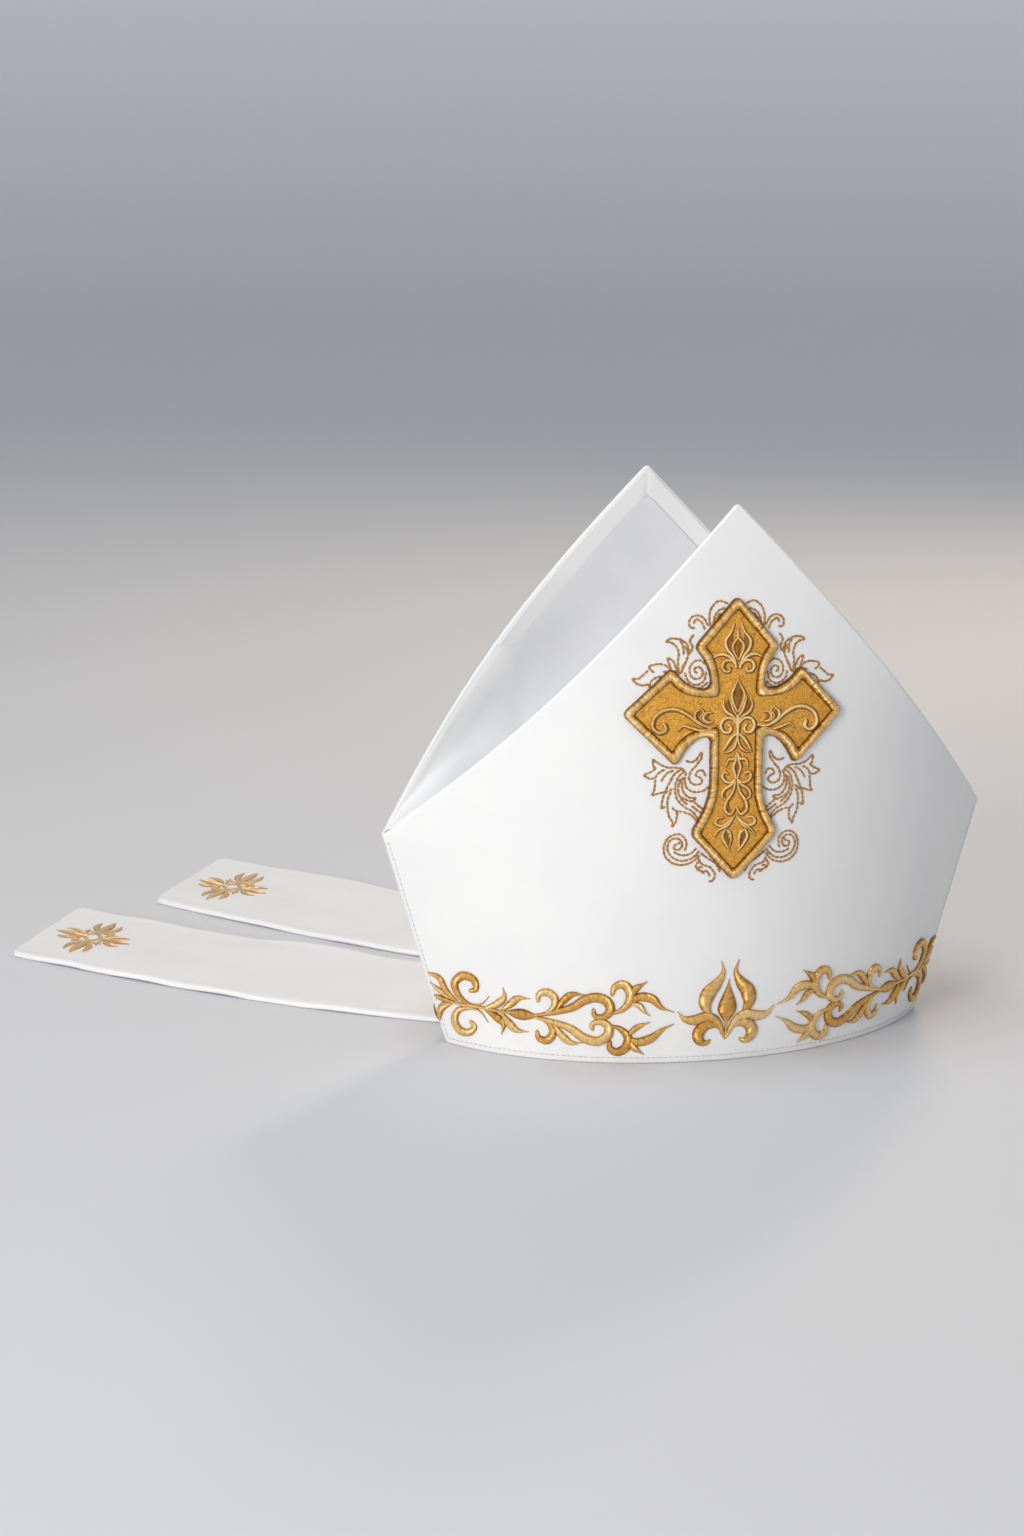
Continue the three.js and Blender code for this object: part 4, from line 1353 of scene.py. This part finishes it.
fleurStrokes = [
    ([(-4.9, 58.2), (-3.4, 51.8), (-6.4, 45.6), (-11, 39.6), (-12.2, 34), (-9.2, 27.4)],
      (0.5, 8.2, 1.6), 0.64),
    ([(-26.8, 30), (-22.8, 25.8), (-17.6, 24.8), (-12, 26.4), (-7, 25.2), (-2.4, 18.6), (-0.4, 13.2)],
     (0.5, 6, 1), 0.32),
    ([(-1.4, 18.2), (-6, 21.6), (-11.2, 21.4), (-14.8, 17.2), (-13.9, 12.6), (-11, 10.9), (-8, 12.6)],
     (1, 6.6, 1.2), 0.55),
]
# the bud and its stem on the middle line, each with its rise, columns and tone
fleurMiddle = [
    ([(0, 47.8), (0, 31), (0, 20)], (0.5, 10.4, 0.6), 0.62, 2.0, 10, 0.15),
    ([(0, 24), (0, 18), (0, 12.6)], (1, 1.3, 0.9), 0.5, 1.2, 6, 0.3),
]


def onWall(side):
    def pointAt(length, z, offset):
        return wallPoint(acrossAt(length, z), max(z, 0.2), offset, side)
    return pointAt


def makeVine(side):
    work, form = ThreadWork(), vineForm
    pointAt = onWall(side)
    for points, widths, peakAt in vineStrokes:
        full = form["thinRise"] + (1 - form["thinRise"]) * min(widths[1] / form["fullWidth"], 1)
        wide = (widths[0], widths[1] * form["widen"], widths[2])
        for line in (points, mirrored(points)):
            work.stroke(line, wide, pointAt, form["rise"] * full, 0.0, peakAt, form["step"], form["columns"])
    for points, widths, peakAt in fleurStrokes:
        for line in (points, mirrored(points)):
            work.stroke(line, widths, pointAt, form["fleurRise"], 0.0, peakAt, form["step"], form["columns"])
    for points, widths, peakAt, rise, columns, tone in fleurMiddle:
        work.stroke(points, widths, pointAt, rise, 0.0, peakAt, form["step"], columns, tone)
    work.finish(f"{side}_vine_embroidery", goldThread, "gold_thread")


for side in ("front", "back"):
    makeVine(side)

# The small leafy crosses near the lappets' free ends, made of one arm turned four ways
print("stage: lappet crosses")
motif = dict(across=50, along=36, longer=1.16, rise=0.55, lift=0.05, tones=(0.7, 1))
motifArm = [
    ([(0, 4.5), (0.5, 13), (-0.4, 21), (0, 28.5)], (2.8, 7.0, 0.8), 0.55),
    ([(1.4, 9), (5, 12.6), (7.8, 17.6), (7.6, 24.4)], (1.6, 4.8, 0.8), 0.55),
    ([(-1.4, 9), (-5, 12.6), (-7.8, 17.6), (-7.6, 24.4)], (1.6, 4.8, 0.8), 0.55),
    ([(0, 8), (2.2, 5.4), (5.4, 2.2), (8, 0)], (2.2, 2.5, 2.2), 0.5),
    ([(3.4, 8), (7.4, 8.4), (10, 11.6)], (1.2, 2.2, 0.8), 0.5),
    ([(-3.4, 8), (-7.4, 8.4), (-10, 11.6)], (1.2, 2.2, 0.8), 0.5),
]


def makeMotif(name, plan):
    work = ThreadWork()
    for quarter in range(4):
        angle = math.radians(90 * quarter)
        longer = motif["longer"] if quarter % 2 else 1.0
        for points, widths, peakAt in motifArm:
            line = []
            for a, b in points:
                b *= longer
                line.append((motif["across"] + a * math.cos(angle) - b * math.sin(angle),
                             motif["along"] + a * math.sin(angle) + b * math.cos(angle)))
            work.stroke(line, widths, plan.pointAt, motif["rise"], motif["lift"], peakAt, 1.0, 6,
                        random.uniform(*motif["tones"]))
    work.finish(f"{name}_embroidery", goldThread, "gold_thread")


for name, plan in lappetPlans.items():
    makeMotif(name, plan)

print("stage: topstitching")
seamStitch = dict(width=0.42, length=2.1, space=0.9, rise=0.22)
seamPlace = dict(aboveFoot=3.4, fromSeam=3.2, endClear=3, lowest=4, footSteps=24, seamSteps=12)


def makeTopstitch(side):
    work, place = ThreadWork(), seamPlace
    pointAt = onWall(side)
    reach = arcTable(place["lowest"])[-1][1] - place["endClear"]
    steps = place["footSteps"]
    foot = [(lerp(-reach, reach, i / steps), place["aboveFoot"]) for i in range(steps + 1)]
    work.stitches(foot, pointAt, **seamStitch)
    for turn in (-1, 1):
        seam = []
        for i in range(place["seamSteps"] + 1):
            z = lerp(place["lowest"], shape["cornerHeight"] - place["endClear"], i / place["seamSteps"])
            seam.append((turn * (lengthAt(sectionAt(z)[0], z) - place["fromSeam"]), z))
        work.stitches(seam, pointAt, **seamStitch)
    work.finish(f"{side}_topstitching", whiteThread, "panel_cloth")


for side in ("front", "back"):
    makeTopstitch(side)

print("stage: done")
